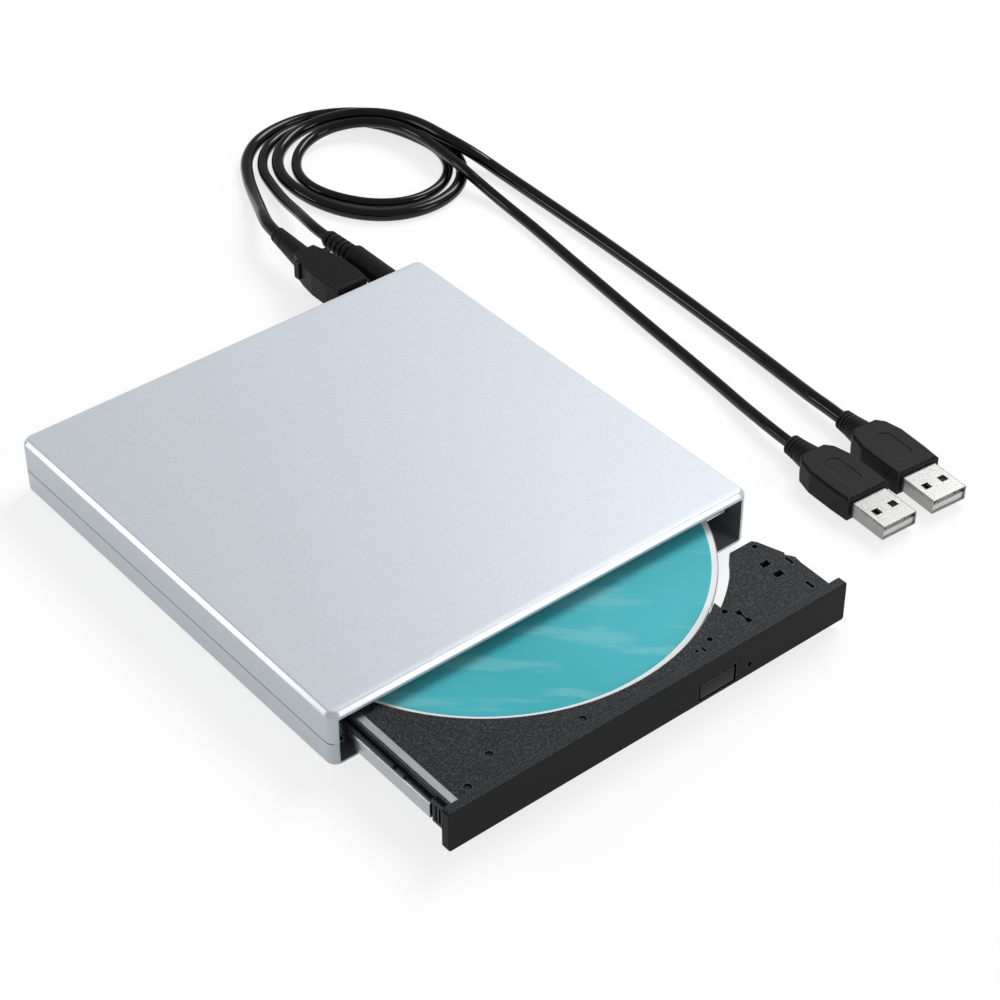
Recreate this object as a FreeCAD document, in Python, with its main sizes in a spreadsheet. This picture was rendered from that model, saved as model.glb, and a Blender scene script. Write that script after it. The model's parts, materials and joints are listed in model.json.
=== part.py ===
import FreeCAD, Part
import Sketcher
import math
import operator
import os

# A slim disc drive in a two-piece moulded housing, with its two free leads.
# Frame: +Z up, the tray opens towards -Y, X to the right seen from the front.
# The origin lies on the standing surface, under the middle of the object.

doc = FreeCAD.newDocument("disc_drive")
sheet = doc.addObject("Spreadsheet::Sheet", "sizes")

# Driving dimensions, in millimetres (angles in degrees).
DIMENSIONS = {
    # housing
    "shell_height": 17.0,
    "side_gap": 1.3,
    "rear_room": 9.2,
    "seam_height": 7.4,
    "roof_thickness": 2.2,
    "floor_thickness": 1.3,
    "side_wall": 2.45,
    "rear_wall": 2.2,
    "corner_radius": 3.0,
    "bevel_in": 1.2,
    "bevel_down": 1.4,
    "foot_height": 0.8,
    "foot_radius": 4.0,
    "foot_recess": 0.4,
    "foot_inset": 9.0,
    "foot_setback": 16.0,
    "clip_length": 8.0,
    "clip_depth": 1.6,
    "clip_thickness": 0.8,
    "boss_radius": 2.3,
    "boss_inset": 5.3,
    "boss_to_port": 12.6,
    "screw_radius": 1.0,
    "screw_head_radius": 1.9,
    "screw_head_depth": 0.8,
    "screw_clearance": 0.15,
    # drive case
    "drive_width": 128.0,
    "drive_height": 12.2,
    "drive_lift": 1.8,
    "drive_length": 123.6,
    "drive_setback": 5.0,
    "sheet_steel": 0.6,
    "step_reach": 44.6,
    "flange_lift": 6.5,
    "mount_front": 30.0,
    "mount_rear": 13.6,
    "mount_inset": 6.0,
    # tray
    "tray_out": 39.8,
    "tray_length": 122.9,
    "tray_side_gap": 2.8,
    "tray_right_reach": 33.5,
    "tray_head_gap": 0.4,
    "tray_foot_gap": 0.5,
    "tray_wall": 1.2,
    "recess_depth": 4.0,
    "recess_radius": 60.8,
    "deck_thickness": 1.0,
    "module_length": 82.0,
    "wing_side_gap": 2.4,
    "wing_thickness": 3.6,
    "wing_length": 24.9,
    "wing_gap_radius": 62.8,
    "wing_ear": 13.3,
    "hatch_width": 9.8,
    "hatch_length": 7.9,
    "strip_width": 2.0,
    "strip_length": 44.6,
    "underplate_thickness": 0.5,
    # front bezel and button
    "bezel_thickness": 2.9,
    "bezel_height": 12.4,
    "bezel_drop": 0.2,
    "button_left": 14.4,
    "button_width": 11.3,
    "button_height": 4.6,
    "button_lift": 1.45,
    "button_gap": 0.2,
    "button_travel": 0.6,
    "lamp_left": 7.2,
    "lamp_width": 4.3,
    "lamp_height": 0.9,
    "release_hole_x": 30.9,
    "release_hole_radius": 0.65,
    # rails
    "rail_height": 4.8,
    "rail_sheet": 0.5,
    "rail_width": 2.2,
    "rail_length": 117.0,
    "rail_setback": 8.8,
    "left_rail_lift": 3.3,
    "right_rail_lift": 1.6,
    "rail_gap": 0.3,
    "guide_length": 63.0,
    # disc and spindle
    "disc_radius": 60.0,
    "disc_thickness": 1.2,
    "disc_hole_radius": 7.5,
    "disc_drop": 1.9,
    "disc_centre_x": 1.0,
    "disc_centre_back": 67.6,
    "table_radius": 14.0,
    "hub_radius": 7.3,
    "motor_radius": 11.0,
    "shaft_radius": 0.8,
    "shaft_clearance": 0.05,
    "damper_radius": 2.2,
    # pickup
    "rod_radius": 1.0,
    "rod_offset": 22.0,
    "rod_length": 58.0,
    "rod_clearance": 0.05,
    "lens_radius": 2.2,
    "lens_start": 24.5,
    "lens_front": 4.0,
    "sled_travel": 33.0,
    "lead_offset": 31.0,
    "lead_radius": 1.2,
    "stepper_radius": 2.2,
    "cover_rim_gap": 0.4,
    # rear board and sockets
    "board_thickness": 1.0,
    "board_lift": 5.1,
    "board_depth": 38.0,
    "jack_inset": 4.3,
    "port_pitch": 12.4,
    "port_width": 7.7,
    "port_height": 3.9,
    "port_sheet": 0.3,
    "jack_width": 6.2,
    "jack_height": 6.0,
    "jack_collar_radius": 3.1,
    "socket_gap": 0.1,
    # leads and their plugs
    "data_cable_radius": 2.0,
    "power_cable_radius": 1.7,
    "data_plug_width": 12.2,
    "data_plug_height": 8.4,
    "data_plug_front": 7.4,
    "data_plug_length": 24.1,
    "data_neck_length": 15.85,
    "data_neck_radius": 3.6,
    "data_neck_turn": 6.0,
    "nose_length": 11.7,
    "nose_sheet": 0.4,
    "power_plug_radius": 3.9,
    "power_plug_front": 1.0,
    "power_plug_length": 22.5,
    "power_relief_length": 13.2,
    "barrel_radius": 1.75,
    "barrel_length": 9.0,
    "host_width": 15.0,
    "host_height": 7.8,
    "host_length": 15.0,
    "host_taper": 7.8,
    "host_relief": 8.2,
    "host_relief_radius": 3.3,
    "host_shell_width": 12.0,
    "host_shell_height": 4.5,
    "host_shell_length": 12.4,
    "host_shell_sheet": 0.35,
}


SIGNS = {"+": operator.add, "-": operator.sub, "*": operator.mul, "/": operator.truediv}


class Size:
    """A length worked out from the sheet: its expression, and its value now."""

    def __init__(self, text, value):
        self.text = text
        self.value = float(value)

    def join(self, sign, other, swap=False):
        other = other if isinstance(other, Size) else Size(repr(float(other)), other)
        first, second = (other, self) if swap else (self, other)
        result = SIGNS[sign](first.value, second.value)
        return Size(f"({first.text} {sign} {second.text})", result)

    def __add__(self, other):
        return self.join("+", other)

    def __radd__(self, other):
        return self.join("+", other, True)

    def __sub__(self, other):
        return self.join("-", other)

    def __rsub__(self, other):
        return self.join("-", other, True)

    def __mul__(self, other):
        return self.join("*", other)

    def __rmul__(self, other):
        return self.join("*", other, True)

    def __truediv__(self, other):
        return self.join("/", other)

    def __neg__(self):
        return self.join("*", -1.0)


class Sheet:
    """The named sizes, one attribute for each cell of the sheet."""


S = Sheet()
for row, (alias, amount) in enumerate(DIMENSIONS.items(), 1):
    sheet.set(f"A{row}", str(amount))
    sheet.setAlias(f"A{row}", alias)
    setattr(S, alias, Size(f"sizes.{alias}", amount))
doc.recompute()


def size(value):
    """A size, also from a bare number."""
    return value if isinstance(value, Size) else Size(repr(float(value)), value)


def root(value):
    """The square root of a size."""
    return Size(f"sqrt({value.text})", math.sqrt(value.value))


def bind(thing, name, value):
    """Set a property of an object from a size."""
    thing.setExpression(name, size(value).text)


def number(value):
    """The present value of a size."""
    return size(value).value


parts = []


def new_body(label):
    """An empty body for one sub-part."""
    body = doc.addObject("PartDesign::Body", label)
    body.Label = label
    body.AllowCompound = True
    parts.append(body)
    return body


PLANES = {"z": "XY_Plane", "y": "XZ_Plane", "x": "YZ_Plane"}


def polygon(*corners):
    """A closed outline of straight sides."""
    return ("polygon", corners)


def rectangle(left, right, low, high):
    """A rectangle between two sides and two ends."""
    return polygon((left, low), (right, low), (right, high), (left, high))


def circle(across, along, radius):
    """A round outline."""
    return ("circle", (across, along, radius))


def draw(body, axis, level, shapes):
    """A sketch across one axis at a level, with each corner bound to the sheet."""
    drawing = body.newObject("Sketcher::SketchObject", body.Label + "_sketch")
    plane = [f for f in body.Origin.OriginFeatures if f.Role == PLANES[axis]][0]
    drawing.AttachmentSupport = [(plane, "")]
    drawing.MapMode = "FlatFace"
    shift = -size(level) if axis == "y" else size(level)
    drawing.AttachmentOffset = FreeCAD.Placement(
        FreeCAD.Vector(0, 0, shift.value), FreeCAD.Rotation())
    bind(drawing, "AttachmentOffset.Base.z", shift)

    def place(item, point, across, along):
        for kind, value in (("DistanceX", size(across)), ("DistanceY", size(along))):
            rule = drawing.addConstraint(
                Sketcher.Constraint(kind, -1, 1, item, point, value.value))
            bind(drawing, f"Constraints[{rule}]", value)

    for kind, data in shapes:
        if kind == "circle":
            across, along, radius = data
            centre = FreeCAD.Vector(number(across), number(along), 0)
            ring = Part.Circle(centre, FreeCAD.Vector(0, 0, 1), number(radius))
            item = drawing.addGeometry(ring, False)
            place(item, 3, across, along)
            rule = drawing.addConstraint(
                Sketcher.Constraint("Radius", item, number(radius)))
            bind(drawing, f"Constraints[{rule}]", radius)
            continue
        points = [FreeCAD.Vector(number(a), number(b), 0) for a, b in data]
        first = drawing.GeometryCount
        count = len(points)
        for here, there in zip(points, points[1:] + points[:1]):
            drawing.addGeometry(Part.LineSegment(here, there), False)
        for step in range(count):
            after = first + (step + 1) % count
            drawing.addConstraint(
                Sketcher.Constraint("Coincident", first + step, 2, after, 1))
        for step, (across, along) in enumerate(data):
            place(first + step, 1, across, along)
    return drawing


def add(body, axis, level, length, *shapes, down=False):
    """Pad outlines from a level, up the axis or down it."""
    drawing = draw(body, axis, level, shapes)
    feature = body.newObject("PartDesign::Pad", body.Label + "_pad")
    feature.Profile = drawing
    feature.Length = number(length)
    bind(feature, "Length", length)
    feature.Reversed = (axis == "y") != down
    doc.recompute()
    return feature


def cut(body, axis, level, length, *shapes, down=False):
    """Pocket outlines from a level, up the axis or down it."""
    drawing = draw(body, axis, level, shapes)
    feature = body.newObject("PartDesign::Pocket", body.Label + "_pocket")
    before = body.Shape.Volume
    feature.Profile = drawing
    feature.Length = number(length)
    bind(feature, "Length", length)
    feature.Reversed = (axis != "y") != down
    doc.recompute()
    if body.Shape.Volume > before - 1e-6:
        raise ValueError(f"{body.Label}: a pocket removes nothing")
    return feature


def spin(body, profile, centre_x, centre_y, angle=360):
    """Turn an outline of radius and height about an upright axis."""
    corners = [(size(centre_x) + radius, height) for radius, height in profile]
    drawing = draw(body, "y", centre_y, [polygon(*corners)])
    axis_line = drawing.addGeometry(
        Part.LineSegment(FreeCAD.Vector(number(centre_x), -5, 0),
                         FreeCAD.Vector(number(centre_x), 5, 0)), True)
    for point, along in ((1, -5.0), (2, 5.0)):
        for kind, value in (("DistanceX", size(centre_x)), ("DistanceY", size(along))):
            rule = drawing.addConstraint(
                Sketcher.Constraint(kind, -1, 1, axis_line, point, value.value))
            bind(drawing, f"Constraints[{rule}]", value)
    feature = body.newObject("PartDesign::Revolution", body.Label + "_turn")
    feature.Profile = drawing
    feature.ReferenceAxis = (drawing, ["Axis0"])
    feature.Angle = angle
    doc.recompute()
    return feature


def cone(body, start, degrees, first, last, length):
    """A cone along Y, turned to the right by an angle, from its first to its last radius."""
    across = math.sin(math.radians(degrees))
    along = math.cos(math.radians(degrees))
    feature = body.newObject("PartDesign::AdditiveCone", body.Label + "_cone")
    feature.MapMode = "Deactivated"
    turn = FreeCAD.Rotation(FreeCAD.Vector(0, 0, 1), FreeCAD.Vector(across, along, 0))
    feature.Placement = FreeCAD.Placement(FreeCAD.Vector(*[number(value) for value in start]), turn)
    for name, value in zip("xyz", start):
        bind(feature, "Placement.Base." + name, value)
    bind(feature, "Radius1", first)
    bind(feature, "Radius2", last)
    bind(feature, "Height", length)
    doc.recompute()
    return feature


def edges_where(shape, test):
    """Names of the straight edges whose middle and direction pass a test."""
    names = []
    for index, edge in enumerate(shape.Edges, 1):
        if len(edge.Vertexes) != 2:
            continue
        middle = (edge.Vertexes[0].Point + edge.Vertexes[1].Point) * 0.5
        direction = edge.Vertexes[1].Point - edge.Vertexes[0].Point
        if direction.Length > 1e-6 and test(middle, direction.normalize()):
            names.append(f"Edge{index}")
    return names


def dress(body, kind, radius, test, second=None):
    """Round or bevel the edges of a body that pass a test."""
    base = body.Tip
    names = edges_where(base.Shape, test)
    if not names:
        raise ValueError(f"{body.Label}: no edge to dress")
    feature = body.newObject("PartDesign::" + kind, body.Label + "_" + kind.lower())
    feature.Base = (base, names)
    if kind == "Fillet":
        bind(feature, "Radius", radius)
    elif second is None:
        bind(feature, "Size", radius)
    else:
        feature.ChamferType = "Two distances"
        bind(feature, "Size", radius)
        bind(feature, "Size2", second)
    doc.recompute()
    return feature


def near(value, target):
    """True where a coordinate is at a size."""
    return abs(value - number(target)) < 1e-4


def upright(middle, direction):
    """True for an edge along Z."""
    return abs(direction.z) > 0.999


# Main places, worked out from the sheet.
half_drive = S.drive_width / 2
inner_half = half_drive + S.side_gap
half_shell = inner_half + S.side_wall
shell_depth = S.drive_setback + S.drive_length + S.rear_room + S.rear_wall
front = (S.tray_out - shell_depth) / 2
back = front + shell_depth
base = S.foot_height
top = base + S.shell_height
seam = base + S.seam_height
floor_top = base + S.floor_thickness
roof_bottom = top - S.roof_thickness
inner_back = back - S.rear_wall

drive_bottom = base + S.drive_lift
drive_top = drive_bottom + S.drive_height
pan_top = drive_bottom + S.sheet_steel
lid_bottom = drive_top - S.sheet_steel
case_front = front + S.drive_setback
case_back = case_front + S.drive_length
flange_bottom = drive_bottom + S.flange_lift
flange_top = flange_bottom + S.sheet_steel
step_x = S.step_reach

bezel_front = front - S.tray_out
bezel_back = bezel_front + S.bezel_thickness
bezel_bottom = drive_bottom - S.bezel_drop
bezel_top = bezel_bottom + S.bezel_height
tray_top = lid_bottom - S.tray_head_gap
tray_left = -(half_drive - S.tray_side_gap)
tray_right = S.tray_right_reach
tray_back = bezel_back + S.tray_length
plate_bottom = pan_top + S.tray_foot_gap
plate_top = plate_bottom + S.underplate_thickness
recess_floor = tray_top - S.recess_depth
deck_bottom = recess_floor - S.deck_thickness
module_back = bezel_back + S.module_length
wing_right = half_drive - S.wing_side_gap
wing_bottom = tray_top - S.wing_thickness
wing_back = bezel_back + S.wing_length

disc_x = S.disc_centre_x
disc_y = bezel_front + S.disc_centre_back
disc_top = tray_top - S.disc_drop
disc_bottom = disc_top - S.disc_thickness

left_rail_outer = -(half_drive - 1.3)
left_rail_inner = left_rail_outer + S.rail_width
left_rail_bottom = drive_bottom + S.left_rail_lift
left_rail_top = left_rail_bottom + S.rail_height
rail_front = bezel_front + S.rail_setback
rail_back = rail_front + S.rail_length
right_rail_inner = tray_right + 0.7
right_rail_outer = right_rail_inner + S.rail_width
right_rail_bottom = drive_bottom + S.right_rail_lift
right_rail_top = right_rail_bottom + S.rail_height

board_bottom = base + S.board_lift
board_top = board_bottom + S.board_thickness
socket_z = board_top + S.port_height / 2
jack_x = inner_half - S.jack_inset
port_x = jack_x - S.port_pitch
boss_left = S.boss_inset - inner_half
boss_right = port_x - S.boss_to_port
boss_y = (case_back + inner_back) / 2
rod_z = plate_top + 3.2
sled_front = disc_y - S.lens_start - S.lens_front
sled_back = sled_front + 14.0
chassis_bottom = plate_top + 0.2
chassis_top = chassis_bottom + 0.8

mount_holes = [(side * (half_drive - S.mount_inset), y) for side in (-1.0, 1.0)
               for y in (case_front + S.mount_front, case_back - S.mount_rear)]
mount_holes = [(x if x.value < 0 else step_x - S.mount_inset, y) for x, y in mount_holes]
foot_places = [(side * (half_shell - S.foot_inset), y)
               for side in (-1.0, 1.0) for y in (front + S.foot_setback, back - S.foot_setback)]
boss_places = [(boss_left, boss_y), (boss_right, boss_y)]


def ring_box(body, level, length):
    """The outer block of one half of the housing, with rounded upright corners."""
    add(body, "z", level, length, rectangle(-half_shell, half_shell, front, back))
    dress(body, "Fillet", S.corner_radius, upright)


def socket_cuts(body):
    """Openings in the rear wall for the data socket and the power jack."""
    half_mouth = S.port_width / 2 + S.socket_gap
    half_tall = S.port_height / 2 + S.socket_gap
    cut(body, "y", inner_back - 1.0, S.rear_wall + 2.0,
        rectangle(port_x - half_mouth, port_x + half_mouth,
                  socket_z - half_tall, socket_z + half_tall))
    cut(body, "y", inner_back - 1.0, S.rear_wall + 2.0,
        circle(jack_x, socket_z, S.jack_collar_radius + S.socket_gap))


def make_top_cover():
    """Roof and upper walls, moulded in one, open at the front."""
    body = new_body("top_cover")
    ring_box(body, seam, S.shell_height - S.seam_height)
    dress(body, "Chamfer", S.bevel_down,
          lambda middle, direction: near(middle.z, top) and abs(direction.z) < 0.5,
          S.bevel_in)
    cut(body, "z", seam, roof_bottom - seam,
        rectangle(-inner_half, inner_half, front - 1.0, inner_back))
    add(body, "z", roof_bottom, roof_bottom - seam,
        *[circle(x, y, S.boss_radius) for x, y in boss_places], down=True)
    cut(body, "z", seam, S.shell_height / 3,
        *[circle(x, y, S.screw_radius) for x, y in boss_places])
    for side in (-1.0, 1.0):
        wall = side * inner_half
        inside = wall - side * S.clip_thickness
        for step in range(3):
            start = front + shell_depth * (0.2 + 0.28 * step)
            add(body, "z", seam - S.clip_depth, S.clip_depth + 1.0,
                rectangle(wall, inside, start, start + S.clip_length))
            add(body, "z", seam, 1.0,
                rectangle(wall + side * 0.2, inside, start, start + S.clip_length))
    socket_cuts(body)
    rib_height = roof_bottom - drive_top - 0.3
    add(body, "z", roof_bottom, rib_height,
        *[rectangle(side * 40.0 - 0.5, side * 40.0 + 0.5, front + 12.0, inner_back - 20.0)
          for side in (-1.0, 1.0)], down=True)
    return body


def make_bottom_cover():
    """Floor and lower walls, with the drive's pads, bosses and board posts."""
    body = new_body("bottom_cover")
    ring_box(body, base, S.seam_height)
    dress(body, "Chamfer", S.corner_radius / 4,
          lambda middle, direction: near(middle.z, base) and abs(direction.z) < 0.5)
    cut(body, "z", floor_top, seam - floor_top,
        rectangle(-inner_half, inner_half, front - 1.0, inner_back))
    add(body, "z", floor_top, drive_bottom - floor_top,
        *[circle(x, y, S.screw_head_radius + 1.6) for x, y in mount_holes])
    add(body, "z", floor_top, seam - floor_top - 0.05,
        *[circle(x, y, S.boss_radius) for x, y in boss_places])
    every = mount_holes + boss_places
    cut(body, "z", base - 1.0, seam - base + 2.0,
        *[circle(x, y, S.screw_radius + S.screw_clearance) for x, y in every])
    cut(body, "z", base, S.screw_head_depth,
        *[circle(x, y, S.screw_head_radius + S.screw_clearance) for x, y in every])
    cut(body, "z", base, S.foot_recess,
        *[circle(x, y, S.foot_radius + S.screw_clearance) for x, y in foot_places])
    add(body, "z", floor_top, board_bottom - floor_top,
        *[circle(x, boss_y, 1.5) for x in (boss_left + 15.0, boss_right - 8.0)])
    add(body, "z", floor_top, 1.4,
        *[rectangle(x - 0.4, x + 0.4, front + 4.0, case_back - 12.0)
          for x in (step_x + 5.0, step_x + 12.0)])
    socket_cuts(body)
    return body


def make_rubber_feet():
    """Four soft discs let into the floor."""
    body = new_body("rubber_feet")
    add(body, "z", 0.0, base + S.foot_recess,
        *[circle(x, y, S.foot_radius) for x, y in foot_places])
    return body


def make_screws(label, places, seat, length, driver=0.5):
    """Screws driven upwards: a flat head with a driver recess, and a shank."""
    body = new_body(label)
    add(body, "z", seat - S.screw_head_depth + 0.1, S.screw_head_depth - 0.1,
        *[circle(x, y, S.screw_head_radius) for x, y in places])
    add(body, "z", seat, length, *[circle(x, y, S.screw_radius) for x, y in places])
    arm = S.screw_radius
    slot = 0.25
    cut(body, "z", seat - S.screw_head_depth + 0.1, driver,
        *[rectangle(x - arm, x + arm, y - slot, y + slot) for x, y in places])
    return body


def make_drive_case():
    """Pressed steel pan: thick on the left, with a thin flange on the right."""
    body = new_body("drive_case")
    outer = [(-half_drive, drive_bottom), (step_x, drive_bottom), (step_x, flange_bottom),
             (half_drive, flange_bottom), (half_drive, lid_bottom), (-half_drive, lid_bottom)]
    add(body, "y", case_front, S.drive_length, polygon(*outer))
    wall = S.sheet_steel
    inner = [(-half_drive + wall, pan_top), (step_x - wall, pan_top),
             (step_x - wall, flange_top), (half_drive - wall, flange_top),
             (half_drive - wall, lid_bottom + 1.0), (-half_drive + wall, lid_bottom + 1.0)]
    cut(body, "y", case_front - 1.0, S.drive_length - wall + 1.0, polygon(*inner))
    cut(body, "y", case_back - wall - 0.5, wall + 1.0,
        rectangle(connector_left - 0.3, connector_right + 0.3, pan_top + 0.4, connector_top + 0.3))
    for x in lid_screw_x:
        add(body, "z", lid_bottom - wall, wall,
            rectangle(x - 2.0, x + 2.0, case_back - wall - 1.9, case_back - wall + 0.1))
    cut(body, "z", lid_bottom - 1.0, 1.5,
        *[circle(x, lid_screw_y, lid_screw_radius) for x in lid_screw_x])
    cut(body, "z", drive_bottom - 0.5, 2.0,
        *[circle(x, y, S.screw_radius) for x, y in mount_holes])
    cut(body, "z", drive_bottom - 0.5, 1.6,
        *[rectangle(x - 5.0, x + 5.0, y - 1.0, y + 1.0)
          for x in (-30.0, 0.0) for y in (case_front + 40.0, case_front + 46.0)])
    return body


lid_screw_x = (-(half_drive - 6.0), size(10.0), half_drive - 6.0)
lid_screw_y = case_back - S.sheet_steel - 0.9
lid_screw_radius = size(0.6)
connector_left = size(-36.0)
connector_right = size(-12.0)
main_board_bottom = pan_top + 0.6
main_board_top = main_board_bottom + S.board_thickness
connector_top = main_board_top + 2.4


def make_drive_top_plate():
    """Steel lid of the drive, with a pressed ring and turned-down tabs."""
    body = new_body("drive_top_plate")
    add(body, "z", lid_bottom, S.sheet_steel,
        rectangle(-half_drive, half_drive, case_front, case_back))
    ring_y = case_front + S.drive_length / 2
    cut(body, "z", drive_top, S.sheet_steel / 2,
        circle(0.0, ring_y, 46.0), circle(0.0, ring_y, 43.0), down=True)
    cut(body, "z", drive_top, S.sheet_steel / 2,
        circle(0.0, ring_y, 20.0), circle(0.0, ring_y, 17.0), down=True)
    tab = S.sheet_steel * 0.8
    for side in (-1.0, 1.0):
        outer = side * (half_drive - S.sheet_steel)
        add(body, "z", lid_bottom, 0.9,
            rectangle(outer, outer - side * tab, case_front, case_front + 14.0), down=True)
    cut(body, "z", lid_bottom - 0.5, S.sheet_steel + 1.0,
        *[circle(x, lid_screw_y, lid_screw_radius + 0.1) for x in lid_screw_x])
    return body


def make_case_screws():
    """Short screws that hold the lid at its rear edge."""
    body = new_body("case_screws")
    add(body, "z", drive_top, 0.35, *[circle(x, lid_screw_y, 1.2) for x in lid_screw_x])
    add(body, "z", lid_bottom - S.sheet_steel, drive_top - lid_bottom + S.sheet_steel,
        *[circle(x, lid_screw_y, lid_screw_radius) for x in lid_screw_x])
    return body


def chips(body, level, height, left, right, low, high, places):
    """Chips on a board, each placed and sized by its share of the board."""
    wide = right - left
    deep = high - low
    add(body, "z", level, height,
        *[rectangle(left + wide * (x - width / 2), left + wide * (x + width / 2),
                    low + deep * (y - length / 2), low + deep * (y + length / 2))
          for x, y, width, length in places])


def make_main_board():
    """Control board at the rear of the drive, with its chips."""
    body = new_body("main_board")
    board_back = case_back - S.sheet_steel - 0.4
    left = -half_drive + 5.0
    right = tray_right - 1.5
    add(body, "z", main_board_bottom, S.board_thickness,
        rectangle(left, right, board_front, board_back))
    chips(body, main_board_top, 1.2, left, right, board_front, board_back,
          [(0.66, 0.46, 0.2, 0.49), (0.91, 0.28, 0.13, 0.24), (0.9, 0.65, 0.1, 0.22),
           (0.15, 0.38, 0.11, 0.27)])
    add(body, "z", pan_top, main_board_bottom - pan_top,
        *[circle(x, y, 1.6) for x in (left + 3.0, right - 3.0)
          for y in (board_front + 3.0, board_back - 3.0)])
    add(body, "z", main_board_top, 1.5,
        rectangle(ribbon_left - 2.0, ribbon_right + 2.0, board_front + 0.5, board_front + 4.5))
    return body


board_front = case_back - S.board_depth


ribbon_left = size(-20.0)
ribbon_right = size(4.0)
ribbon_film = size(0.1)


def make_drive_connector():
    """Socket of the drive at its rear edge, seated on the main board."""
    body = new_body("drive_connector")
    inside = case_back - 7.0
    add(body, "z", main_board_top, connector_top - main_board_top,
        rectangle(connector_left, connector_right, inside, case_back - S.sheet_steel - 0.05))
    cut(body, "y", case_back - S.sheet_steel - 4.6, 5.0,
        rectangle(connector_left + 1.0, connector_right - 1.0,
                  main_board_top + 0.5, connector_top - 0.5))
    return body


def make_board_socket():
    """Plug on the bridge board that reaches into the drive's socket."""
    body = new_body("board_socket")
    mid = (main_board_top + connector_top) / 2
    add(body, "z", mid - 0.45, 0.9,
        rectangle(connector_left + 1.3, connector_right - 1.3, case_back - 4.4, case_back + 1.5))
    add(body, "z", mid - 1.2, 2.4,
        rectangle(connector_left + 0.5, connector_right - 0.5, case_back + 0.4, case_back + 4.0))
    return body


def make_bridge_board():
    """Small board behind the drive that carries both sockets."""
    body = new_body("bridge_board")
    left = boss_left + 10.0
    right = inner_half - 0.4
    rear = inner_back - 0.3
    add(body, "z", board_bottom, S.board_thickness,
        rectangle(left, right, case_back + 0.5, rear))
    cut(body, "z", board_bottom - 0.5, S.board_thickness + 1.0,
        circle(boss_right, boss_y, S.boss_radius + 0.2),
        rectangle(jack_x - S.jack_width / 2 - 0.1, right + 1.0, case_back, rear + 1.0),
        rectangle(connector_left + 0.4, connector_right - 0.4, case_back, case_back + 4.1))
    chips(body, board_top, 1.0, left, right, case_back + 0.5, rear,
          [(0.59, 0.5, 0.06, 0.8), (0.46, 0.5, 0.044, 0.46), (0.37, 0.5, 0.035, 0.38)])
    return body


def make_data_port():
    """Folded steel socket with its contact tongue."""
    body = new_body("data_port")
    half = S.port_width / 2
    deep = size(8.4)
    rear = back - 0.3
    low = board_top
    high = board_top + S.port_height
    add(body, "y", rear - deep, deep, rectangle(port_x - half, port_x + half, low, high))
    dress(body, "Chamfer", 0.6,
          lambda middle, direction: abs(direction.y) > 0.999 and near(middle.z, low))
    inner = half - S.port_sheet
    bite = size(0.6)
    cut(body, "y", rear - deep + 0.8, deep,
        polygon((port_x - inner + bite, low + S.port_sheet),
                (port_x + inner - bite, low + S.port_sheet),
                (port_x + inner, low + S.port_sheet + bite),
                (port_x + inner, high - S.port_sheet),
                (port_x - inner, high - S.port_sheet),
                (port_x - inner, low + S.port_sheet + bite)))
    add(body, "y", rear - deep + 0.5, deep - 2.0,
        rectangle(port_x - 2.3, port_x + 2.3, socket_z - 0.4, socket_z + 0.4))
    return body


def make_power_jack():
    """Moulded jack let into a notch of the board, with its centre pin."""
    body = new_body("power_jack")
    half = S.jack_width / 2
    block_front = case_back + 0.5
    block = inner_back - 0.1 - block_front
    low = socket_z - S.jack_height / 2
    add(body, "y", block_front, block,
        rectangle(jack_x - half, jack_x + half, low, low + S.jack_height))
    add(body, "y", block_front + block - 0.5, S.rear_wall + 0.3,
        circle(jack_x, socket_z, S.jack_collar_radius))
    cut(body, "y", block_front + 1.2, 14.0,
        circle(jack_x, socket_z, S.barrel_radius + S.socket_gap))
    add(body, "y", block_front + 0.8, 8.0, circle(jack_x, socket_z, 0.6))
    return body


def make_left_guide():
    """Plastic channel on the left wall of the case, in which the rail slides."""
    body = new_body("left_guide")
    wall = -half_drive + S.sheet_steel
    web = left_rail_outer - 0.2
    slide_top = left_rail_top + slide_height
    add(body, "y", case_front + 4.5, S.guide_length,
        polygon((wall, left_rail_bottom - 1.1), (left_rail_inner - 0.4, left_rail_bottom - 1.1),
                (left_rail_inner - 0.4, left_rail_bottom - 0.3), (web, left_rail_bottom - 0.3),
                (web, slide_top + 0.3), (web + 1.2, slide_top + 0.3),
                (web + 1.2, slide_top + 0.9), (wall, slide_top + 0.9)))
    return body


slide_height = size(1.3)


def make_right_guide():
    """Plastic channel beside the step of the case, in which the right rail slides."""
    body = new_body("right_guide")
    wall = step_x - S.sheet_steel
    web = right_rail_outer + 0.2
    low = right_rail_bottom - 0.3
    high = right_rail_top + 0.2
    add(body, "y", case_front + 6.0, S.guide_length - 1.0,
        polygon((wall, pan_top), (wall, high + 0.5), (right_rail_inner + 0.4, high + 0.5),
                (right_rail_inner + 0.4, high), (web, high), (web, low),
                (right_rail_inner + 0.4, low), (right_rail_inner + 0.4, low - 0.5),
                (web + 1.0, low - 0.5), (web + 1.0, pan_top)))
    cut(body, "z", pan_top + 1.4, high,
        *[rectangle(web + 2.0, wall - 1.2, case_front + 10.0 + 14.0 * step,
                    case_front + 20.0 + 14.0 * step) for step in range(4)])
    return body


latch_pin_x = size(40.6)
latch_pin_y = case_front + 2.4
latch_z = drive_bottom + 3.4


def make_latch_pin():
    """Turned post on the case floor that the tray's latch holds on to."""
    body = new_body("latch_pin")
    spin(body, [(0.0, pan_top), (1.8, pan_top), (1.8, pan_top + 0.7), (0.8, pan_top + 0.7),
                (0.8, latch_z + 1.3), (1.2, latch_z + 1.3), (1.2, latch_z + 1.7),
                (0.0, latch_z + 1.7)], latch_pin_x, latch_pin_y)
    return body


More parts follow.
